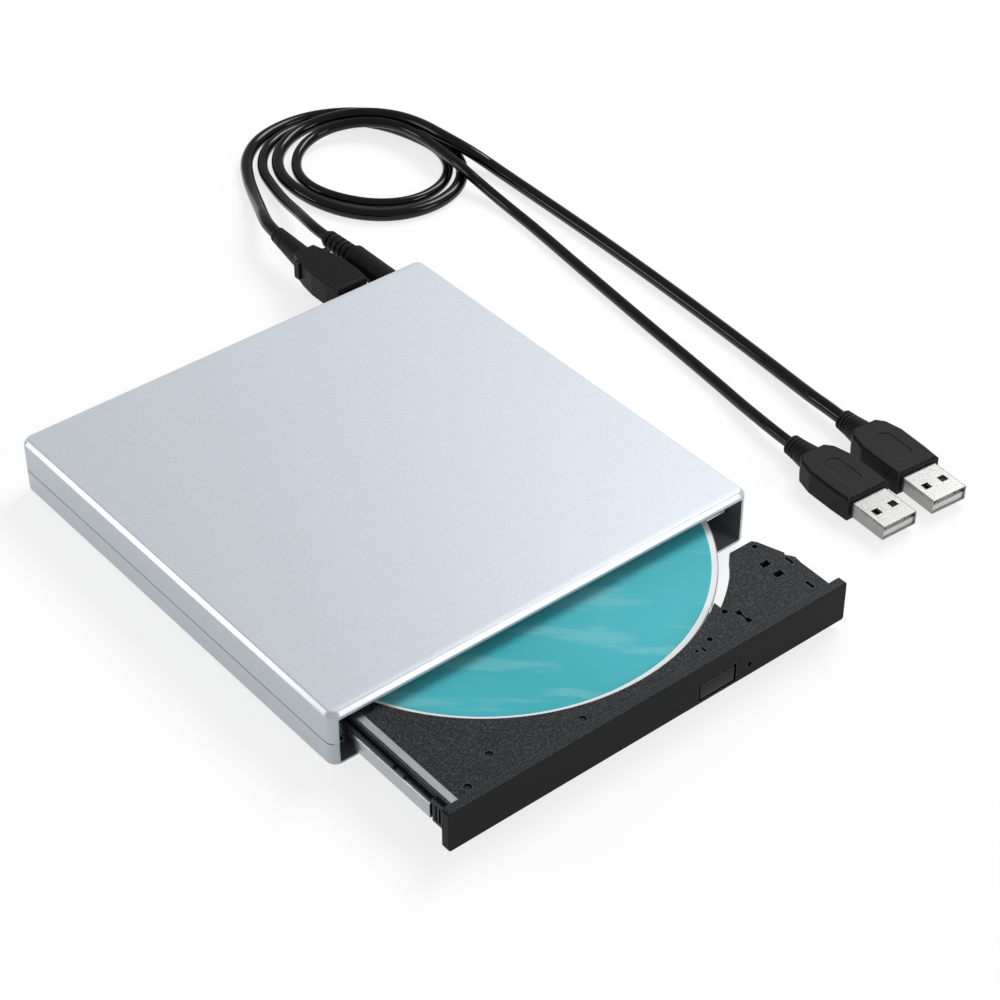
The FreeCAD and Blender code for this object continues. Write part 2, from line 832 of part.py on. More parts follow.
def make_ribbon_cable():
    """Flat film that lies on the case floor and folds back under the tray."""
    body = new_body("ribbon_cable")
    fold = case_front + 6.0
    low = pan_top + 0.02
    high = plate_bottom - 0.05
    add(body, "x", ribbon_left, ribbon_right - ribbon_left,
        polygon((board_front + 0.4, low), (board_front + 0.4, low + ribbon_film),
                (fold + ribbon_film, low + ribbon_film), (fold + ribbon_film, high - ribbon_film),
                (module_back - 2.0, high - ribbon_film), (module_back - 2.0, high),
                (fold, high), (fold, low)))
    return body


def channel(body, web_x, inward, bottom, start, length):
    """A C-shaped rail of folded sheet, open towards the tray."""
    sheet_metal = S.rail_sheet
    lip_x = web_x + inward * S.rail_width
    inner_x = web_x + inward * sheet_metal
    high = bottom + S.rail_height
    add(body, "y", start, length,
        polygon((web_x, bottom), (lip_x, bottom), (lip_x, bottom + sheet_metal),
                (inner_x, bottom + sheet_metal), (inner_x, high - sheet_metal),
                (lip_x, high - sheet_metal), (lip_x, high), (web_x, high)))


def make_left_rail():
    """Folded steel rail between the case and the left edge of the tray."""
    body = new_body("left_rail")
    channel(body, left_rail_outer, 1.0, left_rail_bottom, rail_front, S.rail_length)
    return body


def make_left_rail_slide():
    """Black slide bar that lies on the left rail."""
    body = new_body("left_rail_slide")
    start = rail_front + 10.0
    left = left_rail_outer + 0.1
    right = tray_left - 0.2
    add(body, "y", start, S.rail_length - 14.0,
        rectangle(left, right, left_rail_top, left_rail_top + slide_height))
    cut(body, "z", left_rail_top + 0.5, 2.0,
        rectangle(left - 1.0, right + 1.0, start + 3.0, start + 4.2))
    return body


def make_right_rail():
    """Folded steel rail between the case and the right side of the tray."""
    body = new_body("right_rail")
    channel(body, right_rail_outer, -1.0, right_rail_bottom, rail_front + 3.0,
            S.rail_length - 3.0)
    return body


def make_right_rail_slide():
    """Stop block closed on the rear end of the right rail."""
    body = new_body("right_rail_slide")
    add(body, "y", rail_back - 8.0, 8.0,
        rectangle(right_rail_inner + 0.6, right_rail_outer - 0.6,
                  right_rail_bottom + S.rail_sheet, right_rail_top - S.rail_sheet))
    return body


def make_tray():
    """Moulded tray: wing, deck with the disc recess, skirt, runners and bosses."""
    body = new_body("tray")
    add(body, "z", wing_bottom, S.wing_thickness,
        polygon((tray_right - 0.5, bezel_back), (wing_right - 0.7, bezel_back),
                (wing_right - 0.4, wing_ear - 2.5), (wing_right, wing_ear),
                (wing_right - 1.1, wing_ear + 1.7), (wing_right - 1.5, wing_ear + 2.3),
                (wing_right - 1.0, wing_ear + 2.9), (wing_right - 3.5, wing_back - 1.2),
                (wing_right - 4.4, wing_back), (wing_right - 16.0, wing_back),
                (tray_right - 0.5, wing_back)))
    cut(body, "z", wing_bottom - 1.0, S.wing_thickness + 2.0,
        circle(disc_x, disc_y, S.wing_gap_radius))
    cut(body, "z", wing_bottom - 1.0, S.wing_thickness - 0.2,
        rectangle(tray_right + 4.0, hatch_left - 1.0, bezel_back + 1.4, bezel_back + 7.0),
        rectangle(hatch_left + 1.0, hatch_right - 1.0, bezel_back + 1.4, bezel_back + 7.0))
    deck_high = tray_top - deck_bottom
    add(body, "z", deck_bottom, deck_high,
        rectangle(tray_left, tray_right, bezel_back, tray_back))
    dress(body, "Fillet", 2.0,
          lambda middle, direction: upright(middle, direction) and near(middle.y, tray_back))
    add(body, "z", plate_top, deck_bottom - plate_top,
        rectangle(skirt_left, tray_right, bezel_back, module_back))
    wall = S.tray_wall
    cut(body, "z", plate_top, deck_bottom - plate_top,
        rectangle(skirt_left + wall, tray_right - wall, bezel_back + 1.0, module_back - wall))
    undercut = left_rail_top + slide_height + 0.2 - deck_bottom
    cut(body, "z", deck_bottom - 0.5, undercut + 0.5,
        rectangle(tray_left - 1.0, skirt_left, bezel_back + 5.5, tray_back + 1.0))
    play = S.rail_sheet + S.rail_gap
    run = S.rail_height - 2.0 * play
    add(body, "z", left_rail_bottom + play, run,
        rectangle(left_rail_outer + play, skirt_left + wall, bezel_back + 6.5, rail_back - 2.0))
    add(body, "z", left_rail_bottom + play, deck_bottom - left_rail_bottom - play + 0.5,
        rectangle(skirt_left, skirt_left + wall, module_back - 1.0, tray_back - 2.0))
    add(body, "z", right_rail_bottom + play, run,
        rectangle(tray_right - wall, right_rail_outer - play,
                  bezel_back + 9.5, rail_back - 12.0))
    add(body, "z", right_rail_bottom + play, deck_bottom - right_rail_bottom - play + 0.5,
        rectangle(tray_right - wall, tray_right, module_back - 1.0, tray_back - 12.0))
    add(body, "z", base + 4.6, 7.1,
        rectangle(tray_left - 1.1, tray_left + 2.0, bezel_back, bezel_back + 5.4))
    cut(body, "x", tray_left - 1.6, 1.6,
        *[rectangle(bezel_back + 0.8 + 1.4 * step, bezel_back + 1.6 + 1.4 * step,
                    base + 5.6, base + 10.4) for step in range(3)])
    cut(body, "z", recess_floor, S.recess_depth + 1.0, circle(disc_x, disc_y, S.recess_radius))
    cut(body, "z", deck_bottom - 0.5, S.deck_thickness + 1.0,
        rectangle(window_left, window_right, bezel_back + 1.2, window_back))
    cut(body, "z", deck_bottom - 0.5, S.deck_thickness + 1.0,
        circle(disc_x, disc_y, S.table_radius + 1.0))
    cut(body, "z", tray_top, strip_thickness - 0.05,
        rectangle(strip_left, strip_left + S.strip_width, bezel_back, bezel_back + S.strip_length),
        down=True)
    add(body, "z", deck_bottom, deck_bottom - plate_top - 1.2,
        *[circle(x, y, damper_pin) for x, y in damper_places], down=True)
    add(body, "z", deck_bottom, deck_bottom - plate_top,
        *[circle(x, y, 1.6) for x, y in tray_screw_places], down=True)
    cut(body, "z", plate_top, 3.0, *[circle(x, y, 0.7) for x, y in tray_screw_places])
    add(body, "z", deck_bottom + 0.5, deck_bottom - plate_top + 0.3,
        circle(lever_x, lever_y, lever_pin), down=True)
    cut(body, "z", latch_z - 1.0, 2.0,
        rectangle(tray_right - wall - 0.5, tray_right + 0.5, bezel_back + 1.2, bezel_back + 8.6))
    cut(body, "y", bezel_back - 0.5, 2.0,
        rectangle(stem_left - 0.3, stem_left + stem_width + 0.3, stem_low - 0.3, stem_low + 2.3))
    cut(body, "y", bezel_back - 0.5, 2.0,
        rectangle(S.lamp_left, S.lamp_left + S.lamp_width, lamp_low, lamp_low + S.lamp_height),
        circle(S.release_hole_x, release_z, S.release_hole_radius + 0.2))
    make_tray_openings(body)
    return body


def make_tray_openings(body):
    """Tool holes, latch slots and moulding dimples in the top of the tray."""
    slot_x = tray_right + 2.2
    slot_front = bezel_back + 2.4
    slot_back = bezel_back + 7.5
    slim = 0.35
    wide = 0.8
    cut(body, "z", tray_top, 2.0,
        circle(wing_right - 5.2, wing_back - 2.1, 0.8),
        *[rectangle(wing_right - 9.3, wing_right - 6.5, wing_ear - drop, wing_ear - drop + 2.0)
          for drop in (-1.8, 3.1)],
        rectangle(wing_right - 5.2, wing_right - 4.2, bezel_back + 1.7, bezel_back + 4.7),
        rectangle(wing_right - 2.6, wing_right - 1.7, wing_ear - 1.6, wing_ear + 1.4),
        polygon((slot_x - wide, slot_front), (slot_x + wide, slot_front),
                (slot_x + wide, slot_front + 1.6), (slot_x + slim, slot_front + 1.6),
                (slot_x + slim, slot_back - 1.6), (slot_x + wide, slot_back - 1.6),
                (slot_x + wide, slot_back), (slot_x - wide, slot_back),
                (slot_x - wide, slot_back - 1.6), (slot_x - slim, slot_back - 1.6),
                (slot_x - slim, slot_front + 1.6), (slot_x - wide, slot_front + 1.6)),
        circle(tray_right - 0.2, bezel_back + 9.3, 0.9),
        circle(tray_right - 10.1, bezel_back + 4.1, 0.8),
        rectangle(tray_right - 14.1, tray_right - 13.3, bezel_back + 1.5, bezel_back + 3.3),
        circle(tray_right - 15.5, bezel_back + 2.9, 0.5), down=True)
    cut(body, "z", tray_top, 0.5,
        circle(tray_left + 6.8, bezel_back + 2.2, 1.1), circle(tray_left + 17.4, bezel_back + 7.4, 1.1),
        circle(disc_x - 20.1, bezel_back + 2.5, 1.1), down=True)
    groove = 0.3
    cut(body, "z", tray_top, 0.4,
        rectangle(hatch_left, hatch_right, bezel_back + groove, bezel_back + S.hatch_length),
        rectangle(hatch_left + groove, hatch_right - groove, bezel_back + 2.0 * groove,
                  bezel_back + S.hatch_length - groove), down=True)


wing_ear = bezel_back + S.wing_ear
hatch_right = wing_right - 6.9
hatch_left = hatch_right - S.hatch_width
skirt_left = left_rail_inner + 0.3
window_left = disc_x - S.lead_offset - 4.5
window_right = disc_x + S.rod_offset + 5.5
window_back = disc_y + 12.5
strip_left = tray_left + 0.6
strip_thickness = size(0.25)
damper_pin = size(1.2)
damper_places = [(disc_x - 39.0, disc_y + 10.0), (disc_x - 39.0, disc_y - 50.0),
                 (disc_x + 28.6, disc_y + 9.0)]
tray_screw_places = [(tray_left + 5.0, bezel_back + 3.6), (tray_left + 5.0, module_back - 2.4),
                     (disc_x + 19.0, module_back - 2.4)]
lever_x = tray_right - 3.5
lever_y = bezel_back + 16.9
lever_pin = size(1.0)
lever_swing = size(14.0)
stem_left = S.button_left + 2.5
stem_width = size(3.0)
button_low = bezel_bottom + S.button_lift
stem_low = button_low + 1.4
lamp_low = button_low + 1.6
release_z = button_low + 2.15


def make_tray_strip():
    """Light metal strip let into the left edge of the tray."""
    body = new_body("tray_strip")
    add(body, "z", tray_top + 0.05 - strip_thickness, strip_thickness,
        rectangle(strip_left, strip_left + S.strip_width, bezel_back, bezel_back + S.strip_length))
    return body


def make_front_bezel():
    """Moulded front, bare, with openings for the button, lamp and release pin."""
    body = new_body("front_bezel")
    add(body, "y", bezel_front, S.bezel_thickness,
        rectangle(-half_drive, half_drive, bezel_bottom, bezel_top))
    dress(body, "Fillet", 0.8, lambda middle, direction: abs(direction.y) > 0.999)
    dress(body, "Fillet", 0.3,
          lambda middle, direction: near(middle.y, bezel_front) and abs(direction.x) > 0.999)
    dress(body, "Chamfer", 0.3,
          lambda middle, direction: near(middle.y, bezel_back) and near(middle.z, bezel_top)
          and abs(direction.x) > 0.999)
    gap = S.button_gap
    cut(body, "y", bezel_front - 1.0, S.bezel_thickness + 2.0,
        rectangle(S.button_left - gap, S.button_left + S.button_width + gap,
                  button_low - gap, button_low + S.button_height + gap),
        rectangle(S.lamp_left, S.lamp_left + S.lamp_width, lamp_low, lamp_low + S.lamp_height),
        circle(S.release_hole_x, release_z, S.release_hole_radius))
    cut(body, "y", bezel_back, 1.2,
        rectangle(tray_right + 2.0, half_drive - 1.6, bezel_bottom + 1.4, wing_bottom - 1.0),
        down=True)
    return body


def make_eject_button():
    """Push button with a stem that reaches the switch behind the bezel."""
    body = new_body("eject_button")
    add(body, "y", bezel_front, S.bezel_thickness - S.button_travel - 0.3,
        rectangle(S.button_left, S.button_left + S.button_width,
                  button_low, button_low + S.button_height))
    dress(body, "Fillet", 0.4, lambda middle, direction: abs(direction.y) > 0.999)
    add(body, "y", bezel_front + 1.0, S.bezel_thickness - 0.3,
        rectangle(stem_left, stem_left + stem_width, stem_low, stem_low + 2.0))
    return body


def make_led_window():
    """Clear bar that carries the lamp's light through the bezel."""
    body = new_body("led_window")
    add(body, "y", bezel_front + 0.1, S.bezel_thickness + 0.6,
        rectangle(S.lamp_left + 0.05, S.lamp_left + S.lamp_width - 0.05,
                  lamp_low + 0.05, lamp_low + S.lamp_height - 0.05))
    return body


def make_underplate():
    """Steel sheet that closes the tray from below."""
    body = new_body("underplate")
    add(body, "z", plate_bottom, S.underplate_thickness,
        rectangle(skirt_left, tray_right, bezel_back + 0.3, module_back))
    dress(body, "Fillet", 1.5,
          lambda middle, direction: upright(middle, direction) and near(middle.y, module_back))
    cut(body, "z", plate_bottom - 0.5, 2.0,
        *[circle(x, y, 0.8) for x, y in tray_screw_places])
    cut(body, "z", plate_bottom - 0.5, 2.0,
        *[rectangle(disc_x - 14.0 + 8.0 * step, disc_x - 9.0 + 8.0 * step,
                    disc_y - 46.0, disc_y - 44.0) for step in range(4)])
    return body


def make_tray_screws():
    """Flat screws that hold the plate under the tray."""
    body = new_body("tray_screws")
    add(body, "z", plate_bottom, 0.25,
        *[circle(x, y, 1.5) for x, y in tray_screw_places], down=True)
    add(body, "z", plate_bottom, 3.0, *[circle(x, y, 0.65) for x, y in tray_screw_places])
    return body


def make_mechanism_chassis():
    """Stamped plate under the disc that carries the motor, rods and lead screw."""
    body = new_body("mechanism_chassis")
    left = damper_places[0][0] - 3.4
    right_wide = tray_right - S.tray_wall - 0.4
    right_slim = disc_x + S.rod_offset + 2.8
    near_edge = bezel_back + 1.4
    far = disc_y + 12.0
    notch_left = S.lamp_left - 4.0
    notch_right = disc_x + S.rod_offset - 1.4
    notch_back = bezel_back + 9.0
    add(body, "z", chassis_bottom, 0.8,
        polygon((left, near_edge), (notch_left, near_edge), (notch_left, notch_back),
                (notch_right, notch_back), (notch_right, near_edge), (right_slim, near_edge),
                (right_slim, disc_y - 6.0), (right_wide, disc_y - 2.0), (right_wide, far),
                (left, far)))
    cut(body, "z", chassis_bottom - 0.5, 2.0,
        rectangle(disc_x - 15.0, disc_x + 15.0, notch_back + 3.0, disc_y - 15.0))
    cut(body, "z", chassis_bottom - 0.5, 2.0,
        *[circle(x, y, damper_pin + 0.3) for x, y in damper_places])
    post = rod_z + S.rod_radius + 0.8 - chassis_top
    rod_front = bezel_back + 1.4
    rod_back = bezel_back + 1.9 + S.rod_length
    for side in (-1.0, 1.0):
        x = disc_x + side * S.rod_offset
        add(body, "z", chassis_top, post,
            rectangle(x - 1.9, x + 1.9, rod_front, rod_front + 2.0),
            rectangle(x - 1.9, x + 1.9, rod_back - 2.0, rod_back + 0.6))
    add(body, "z", chassis_top, post,
        rectangle(lead_x - 1.9, lead_x + 1.9, rod_front, rod_front + 2.0))
    for side in (-1.0, 1.0):
        cut(body, "y", rod_front + 0.5, S.rod_length,
            circle(disc_x + side * S.rod_offset, rod_z, S.rod_radius))
    cut(body, "y", rod_front + 0.5, 2.0, circle(lead_x, rod_z, S.shaft_radius * 0.75))
    return body


lead_x = disc_x - S.lead_offset


def make_guide_rods():
    """Two ground rods that the pickup slides on."""
    body = new_body("guide_rods")
    add(body, "y", bezel_back + 1.9, S.rod_length,
        *[circle(disc_x + side * S.rod_offset, rod_z, S.rod_radius) for side in (-1.0, 1.0)])
    return body


def make_rubber_dampers():
    """Rubber rings between the chassis and the tray's pins."""
    body = new_body("rubber_dampers")
    add(body, "z", chassis_top, deck_bottom - chassis_top,
        *[circle(x, y, radius) for x, y in damper_places for radius in (S.damper_radius, damper_pin)])
    return body


def make_sled_motor():
    """Small stepping motor that turns the lead screw."""
    body = new_body("sled_motor")
    start = disc_y - 7.8
    add(body, "y", start, 12.0, circle(lead_x, rod_z, S.stepper_radius))
    add(body, "y", start, 0.8,
        rectangle(lead_x - 3.4, lead_x + 3.4, chassis_top, rod_z + S.stepper_radius - 0.2))
    cut(body, "y", start - 0.5, 4.5, circle(lead_x, rod_z, S.shaft_radius * 0.75 + 0.05))
    return body


def make_lead_screw():
    """Lead screw between its front bearing and the stepping motor."""
    body = new_body("lead_screw")
    start = bezel_back + 3.6
    end = disc_y - 8.0
    stub = S.shaft_radius * 0.75 - S.shaft_clearance
    add(body, "y", start, end - start, circle(lead_x, rod_z, S.lead_radius))
    add(body, "y", start - 1.4, end - start + 4.4, circle(lead_x, rod_z, stub))
    return body


def make_spindle_motor():
    """Fixed half of the spindle motor: base, bearing tube and wound core."""
    body = new_body("spindle_motor")
    bore = S.shaft_radius + S.shaft_clearance
    low = chassis_top
    spin(body, [(bore, low), (S.motor_radius + 1.2, low), (S.motor_radius + 1.2, low + 0.6),
                (S.motor_radius - 1.4, low + 0.6), (S.motor_radius - 1.4, low + 3.0),
                (S.motor_radius - 5.0, low + 3.0), (S.motor_radius - 5.0, low + 1.4),
                (2.0, low + 1.4), (2.0, low + 3.1), (bore, low + 3.1)], disc_x, disc_y)
    return body


def make_turntable():
    """Rotor, turntable and hub, turned in one with the spindle's shaft."""
    body = new_body("turntable")
    low = chassis_top
    table = disc_bottom
    spin(body, [(0.0, low + 0.4), (S.shaft_radius, low + 0.4), (S.shaft_radius, low + 3.6),
                (S.motor_radius - 0.2, low + 3.6), (S.motor_radius - 0.2, low + 1.0),
                (S.motor_radius + 0.4, low + 1.0), (S.motor_radius + 0.4, low + 4.1),
                (S.table_radius, low + 4.1), (S.table_radius, table), (S.table_radius - 2.4, table),
                (S.table_radius - 2.4, table - 0.5), (S.hub_radius, table - 0.5),
                (S.hub_radius, disc_top + 0.2), (S.hub_radius - 1.4, disc_top + 1.1),
                (0.0, disc_top + 1.1)], disc_x, disc_y)
    for turn in jaw_turns:
        cut(body, "z", disc_top - 1.0, 3.0, turned(turn, 4.4, S.hub_radius + 1.0, 1.6))
    return body


jaw_turns = (90.0, 210.0, 330.0)


def turned(angle, inner, outer, half):
    """A bar that points outwards from the spindle at an angle."""
    across = math.cos(math.radians(angle))
    along = math.sin(math.radians(angle))

    def corner(reach, side):
        return (disc_x + size(reach) * across - size(side) * along,
                disc_y + size(reach) * along + size(side) * across)

    half = size(half)
    return polygon(corner(inner, -half), corner(outer, -half),
                   corner(outer, half), corner(inner, half))


def make_hub_jaws():
    """Three sprung jaws that hold the disc on the hub."""
    body = new_body("hub_jaws")
    for turn in jaw_turns:
        add(body, "z", disc_top - 1.0, 1.9, turned(turn, 4.5, S.hub_radius - 0.1, 1.45))
        add(body, "z", disc_top + 0.1, 0.7, turned(turn, 4.5, S.hub_radius + 0.5, 1.45))
    return body


def make_disc():
    """Disc with its centre hole."""
    body = new_body("disc")
    add(body, "z", disc_bottom, S.disc_thickness, circle(disc_x, disc_y, S.disc_radius),
        circle(disc_x, disc_y, S.disc_hole_radius))
    return body


def make_mechanism_cover():
    """Thin black plate over the mechanism, open for the turntable and the lens."""
    body = new_body("mechanism_cover")
    rim = S.recess_radius - S.cover_rim_gap
    left = disc_x - window_left + 0.5
    right = window_right - disc_x + 1.5
    nose = S.table_radius
    back_edge = window_back + 5.5

    def rim_y(across):
        return disc_y - root(rim * rim - across * across)

    add(body, "z", recess_floor, 0.3,
        polygon((disc_x - left, back_edge), (disc_x - left, rim_y(left)),
                (disc_x - nose, rim_y(nose)), (disc_x + nose, rim_y(nose)),
                (disc_x + right, rim_y(right)), (disc_x + right, back_edge)))
    cut(body, "z", recess_floor - 0.5, 2.0, circle(disc_x, disc_y, S.table_radius + 1.0))
    slot = nose - 6.0
    cut(body, "z", recess_floor - 0.5, 2.0,
        rectangle(disc_x - slot, disc_x + slot, lens_y - S.sled_travel - 1.5 * S.lens_radius,
                  disc_y - nose + 4.0))
    return body


def make_pickup_sled():
    """Pickup body with its rod eyes, nut arm and well for the lens."""
    body = new_body("pickup_sled")
    low = chassis_top + 0.6
    high = chassis_top + 3.9
    tall = high - low
    offset = S.rod_offset
    deep = sled_back - sled_front
    add(body, "z", low, tall,
        polygon((disc_x - 15.0, sled_front), (disc_x - 4.0, sled_front),
                (disc_x + 4.0, sled_front), (disc_x + 15.0, sled_front + 1.5),
                (disc_x + 15.0, sled_back - 2.5), (disc_x + 11.0, sled_back),
                (disc_x - 15.0, sled_back)))
    add(body, "z", low + 0.4, tall - 0.4,
        rectangle(disc_x - offset - 2.4, disc_x - 14.0, sled_front + 0.5, sled_back),
        rectangle(disc_x + 14.0, disc_x + offset + 2.2, sled_front + 4.0, sled_front + 9.0))
    add(body, "z", rod_z - 1.9, 2.8,
        rectangle(lead_x - 1.9, disc_x - offset - 2.0, sled_front + 4.0, sled_front + 9.0))
    cut(body, "z", rod_z - 2.5, 5.0,
        rectangle(disc_x - offset - 1.6, disc_x - offset + 1.6, sled_front + 4.5, sled_front + 9.5))
    fit = S.rod_clearance
    for side in (-1.0, 1.0):
        cut(body, "y", sled_front - 1.0, deep + 2.0,
            circle(disc_x + side * offset, rod_z, S.rod_radius + fit))
    cut(body, "y", sled_front - 1.0, deep + 2.0, circle(lead_x, rod_z, S.lead_radius + fit))
    cut(body, "z", high, 2.6, circle(disc_x, lens_y, S.lens_radius + 0.8), down=True)
    cut(body, "z", high, 1.0,
        rectangle(disc_x - 11.0, disc_x + 9.0, sled_front + 8.0, sled_back - 1.6), down=True)
    return body


lens_y = sled_front + S.lens_front


def make_objective_lens():
    """Objective lens in its holder, hung on wires above the pickup."""
    body = new_body("objective_lens")
    high = chassis_top + 3.9
    spin(body, [(0.0, high - 1.9), (S.lens_radius, high - 1.9), (S.lens_radius, high + 0.1),
                (S.lens_radius - 0.5, high + 0.3), (S.lens_radius - 0.7, high + 0.1),
                (0.0, high + 0.25)], disc_x, lens_y)
    return body


def make_tray_board():
    """Small board behind the bezel with the switch and the lamp."""
    body = new_body("tray_board")
    low = plate_top + 0.05
    edge = bezel_back + 1.2
    add(body, "z", low, 0.6,
        rectangle(S.lamp_left - 3.2, disc_x + S.rod_offset - 2.2, edge, bezel_back + 8.5))
    add(body, "z", low + 0.6, stem_low + 1.9 - low - 0.6,
        rectangle(stem_left - 0.8, stem_left + stem_width + 0.4, edge + 0.2, edge + 2.1))
    add(body, "z", low + 0.6, lamp_low + 1.0 - low - 0.6,
        rectangle(S.lamp_left + 1.0, S.lamp_left + 3.0, edge + 0.1, edge + 1.4))
    return body


def make_eject_solenoid():
    """Latching solenoid that holds and frees the latch lever."""
    body = new_body("eject_solenoid")
    start = lever_y + 3.0
    left = disc_x + S.rod_offset + 3.2
    right = tray_right - S.tray_wall - 0.3
    add(body, "z", plate_top, deck_bottom - plate_top - 0.3,
        rectangle(left, right, start, start + 14.0))
    cut(body, "z", plate_top + 0.7, 9.0,
        rectangle(left - 1.0, right + 1.0, start + 3.0, start + 3.8),
        rectangle(left - 1.0, right + 1.0, start + 11.0, start + 11.8))
    return body


def make_latch_lever():
    """Pivoted lever whose hook takes hold of the post on the case."""
    body = new_body("latch_lever")
    reach = latch_pin_x + 1.2
    hook_front = latch_pin_y - S.tray_out + 1.2
    add(body, "z", latch_z - 0.6, 1.2,
        polygon((lever_x - 2.0, lever_y + 1.6), (lever_x + 1.4, lever_y + 1.6),
                (lever_x + 1.4, hook_front + 1.4), (reach, hook_front + 1.4),
                (reach + 0.4, hook_front), (reach - 2.6, hook_front),
                (lever_x + 1.0, hook_front), (lever_x - 1.6, hook_front + 2.0)))
    cut(body, "z", latch_z - 1.0, 2.0, circle(lever_x, lever_y, lever_pin + S.shaft_clearance))
    pivot = FreeCAD.Vector(number(lever_x), number(lever_y), 0)
    turn = FreeCAD.Rotation(FreeCAD.Vector(0, 0, 1), -number(lever_swing))
    body.Placement = FreeCAD.Placement(pivot - turn.multVec(pivot), turn)
    return body


data_plug_start = back + S.data_plug_front
data_neck_start = data_plug_start + S.data_plug_length
power_plug_start = back + S.power_plug_front
power_relief_start = power_plug_start + S.power_plug_length


def make_data_plug():
    """Moulded plug of the data lead, with side lugs and a bent tapering neck."""
    body = new_body("data_plug")
    half = S.data_plug_width / 2
    tall = S.data_plug_height
    low = socket_z - tall / 2
    start = data_plug_start
    end = data_neck_start
    neck = S.data_neck_radius
    add(body, "z", low, tall,
        polygon((port_x - half + 0.7, start), (port_x + half - 0.7, start),
                (port_x + half, start + 5.0), (port_x + half, start + 12.0),
                (port_x + half - 0.8, end - 6.6), (port_x + neck, end),
                (port_x - neck, end), (port_x - half + 0.8, end - 6.6),
                (port_x - half, start + 12.0), (port_x - half, start + 5.0)))
    dress(body, "Chamfer", 0.5,
          lambda middle, direction: near(middle.z, low) or near(middle.z, low + tall))
    add(body, "z", socket_z - 2.0, tall / 2 + 1.4,
        *[rectangle(port_x + side * (half - 3.0), port_x + side * (half - 0.2), end - 5.4, end - 3.2)
          for side in (-1.0, 1.0)])
    turn = number(S.data_neck_turn)
    cone(body, (port_x, end - 0.5, socket_z), turn, neck, S.data_cable_radius + 0.5,
         S.data_neck_length + 0.5)
    for reach in (0.66, 0.9):
        level = S.data_neck_length * reach
        ring = neck - (neck - S.data_cable_radius - 0.5) * reach
        centre = port_x + level * math.tan(math.radians(turn))
        cut(body, "y", end + level, 0.7, circle(centre, socket_z, neck + 1.0),
            circle(centre, socket_z, ring - 0.4))
    return body


def make_data_plug_nose():
    """Folded steel nose of the data plug, inside the socket."""
    body = new_body("data_plug_nose")
    half = S.port_width / 2 - S.port_sheet - S.socket_gap
    low = board_top + S.port_sheet + S.socket_gap
    high = board_top + S.port_height - S.port_sheet - S.socket_gap
    x = port_x
    start = data_plug_start - S.nose_length
    add(body, "y", start, S.nose_length,
        polygon((x - half + 0.6, low), (x + half - 0.6, low), (x + half, low + 0.6),
                (x + half, high), (x - half, high), (x - half, low + 0.6)))
    wall = S.nose_sheet
    cut(body, "y", start - 1.0, S.nose_length,
        polygon((x - half + wall + 0.4, low + wall), (x + half - wall - 0.4, low + wall),
                (x + half - wall, low + wall + 0.4), (x + half - wall, high - wall),
                (x - half + wall, high - wall), (x - half + wall, low + wall + 0.4)))
    return body


def make_power_plug():
    """Round moulded power plug with a ribbed strain relief."""
    body = new_body("power_plug")
    radius = S.power_plug_radius
    add(body, "y", power_plug_start, S.power_plug_length, circle(jack_x, socket_z, radius))
    dress_rim(body, 0.5)
    core = S.power_cable_radius + 0.5
    cone(body, (jack_x, power_relief_start - 0.5, socket_z), 0.0, core + 0.5, core,
         S.power_relief_length + 0.5)
    for step in range(5):
        add(body, "y", power_relief_start + S.power_relief_length * (0.12 + 0.175 * step), 1.2,
            circle(jack_x, socket_z, core + 0.8 - 0.07 * step))
    return body


def dress_rim(body, radius):
    """Bevel the round rims at both ends of a turned plug."""
    base_feature = body.Tip
    names = [f"Edge{index}" for index, edge in enumerate(base_feature.Shape.Edges, 1)
             if len(edge.Vertexes) == 1]
    feature = body.newObject("PartDesign::Chamfer", body.Label + "_rim")
    feature.Base = (base_feature, names)
    bind(feature, "Size", radius)
    doc.recompute()


def make_power_plug_barrel():
    """Nickel-plated barrel of the power plug."""
    body = new_body("power_plug_barrel")
    start = power_plug_start - S.barrel_length
    add(body, "y", start, S.barrel_length, circle(jack_x, socket_z, S.barrel_radius),
        circle(jack_x, socket_z, 0.75))
    return body


HOSTS = {
    "data": (119.5, -12.5, 4.6, S.data_cable_radius),
    "power": (101.2, -11.6, 3.2, S.power_cable_radius),
}


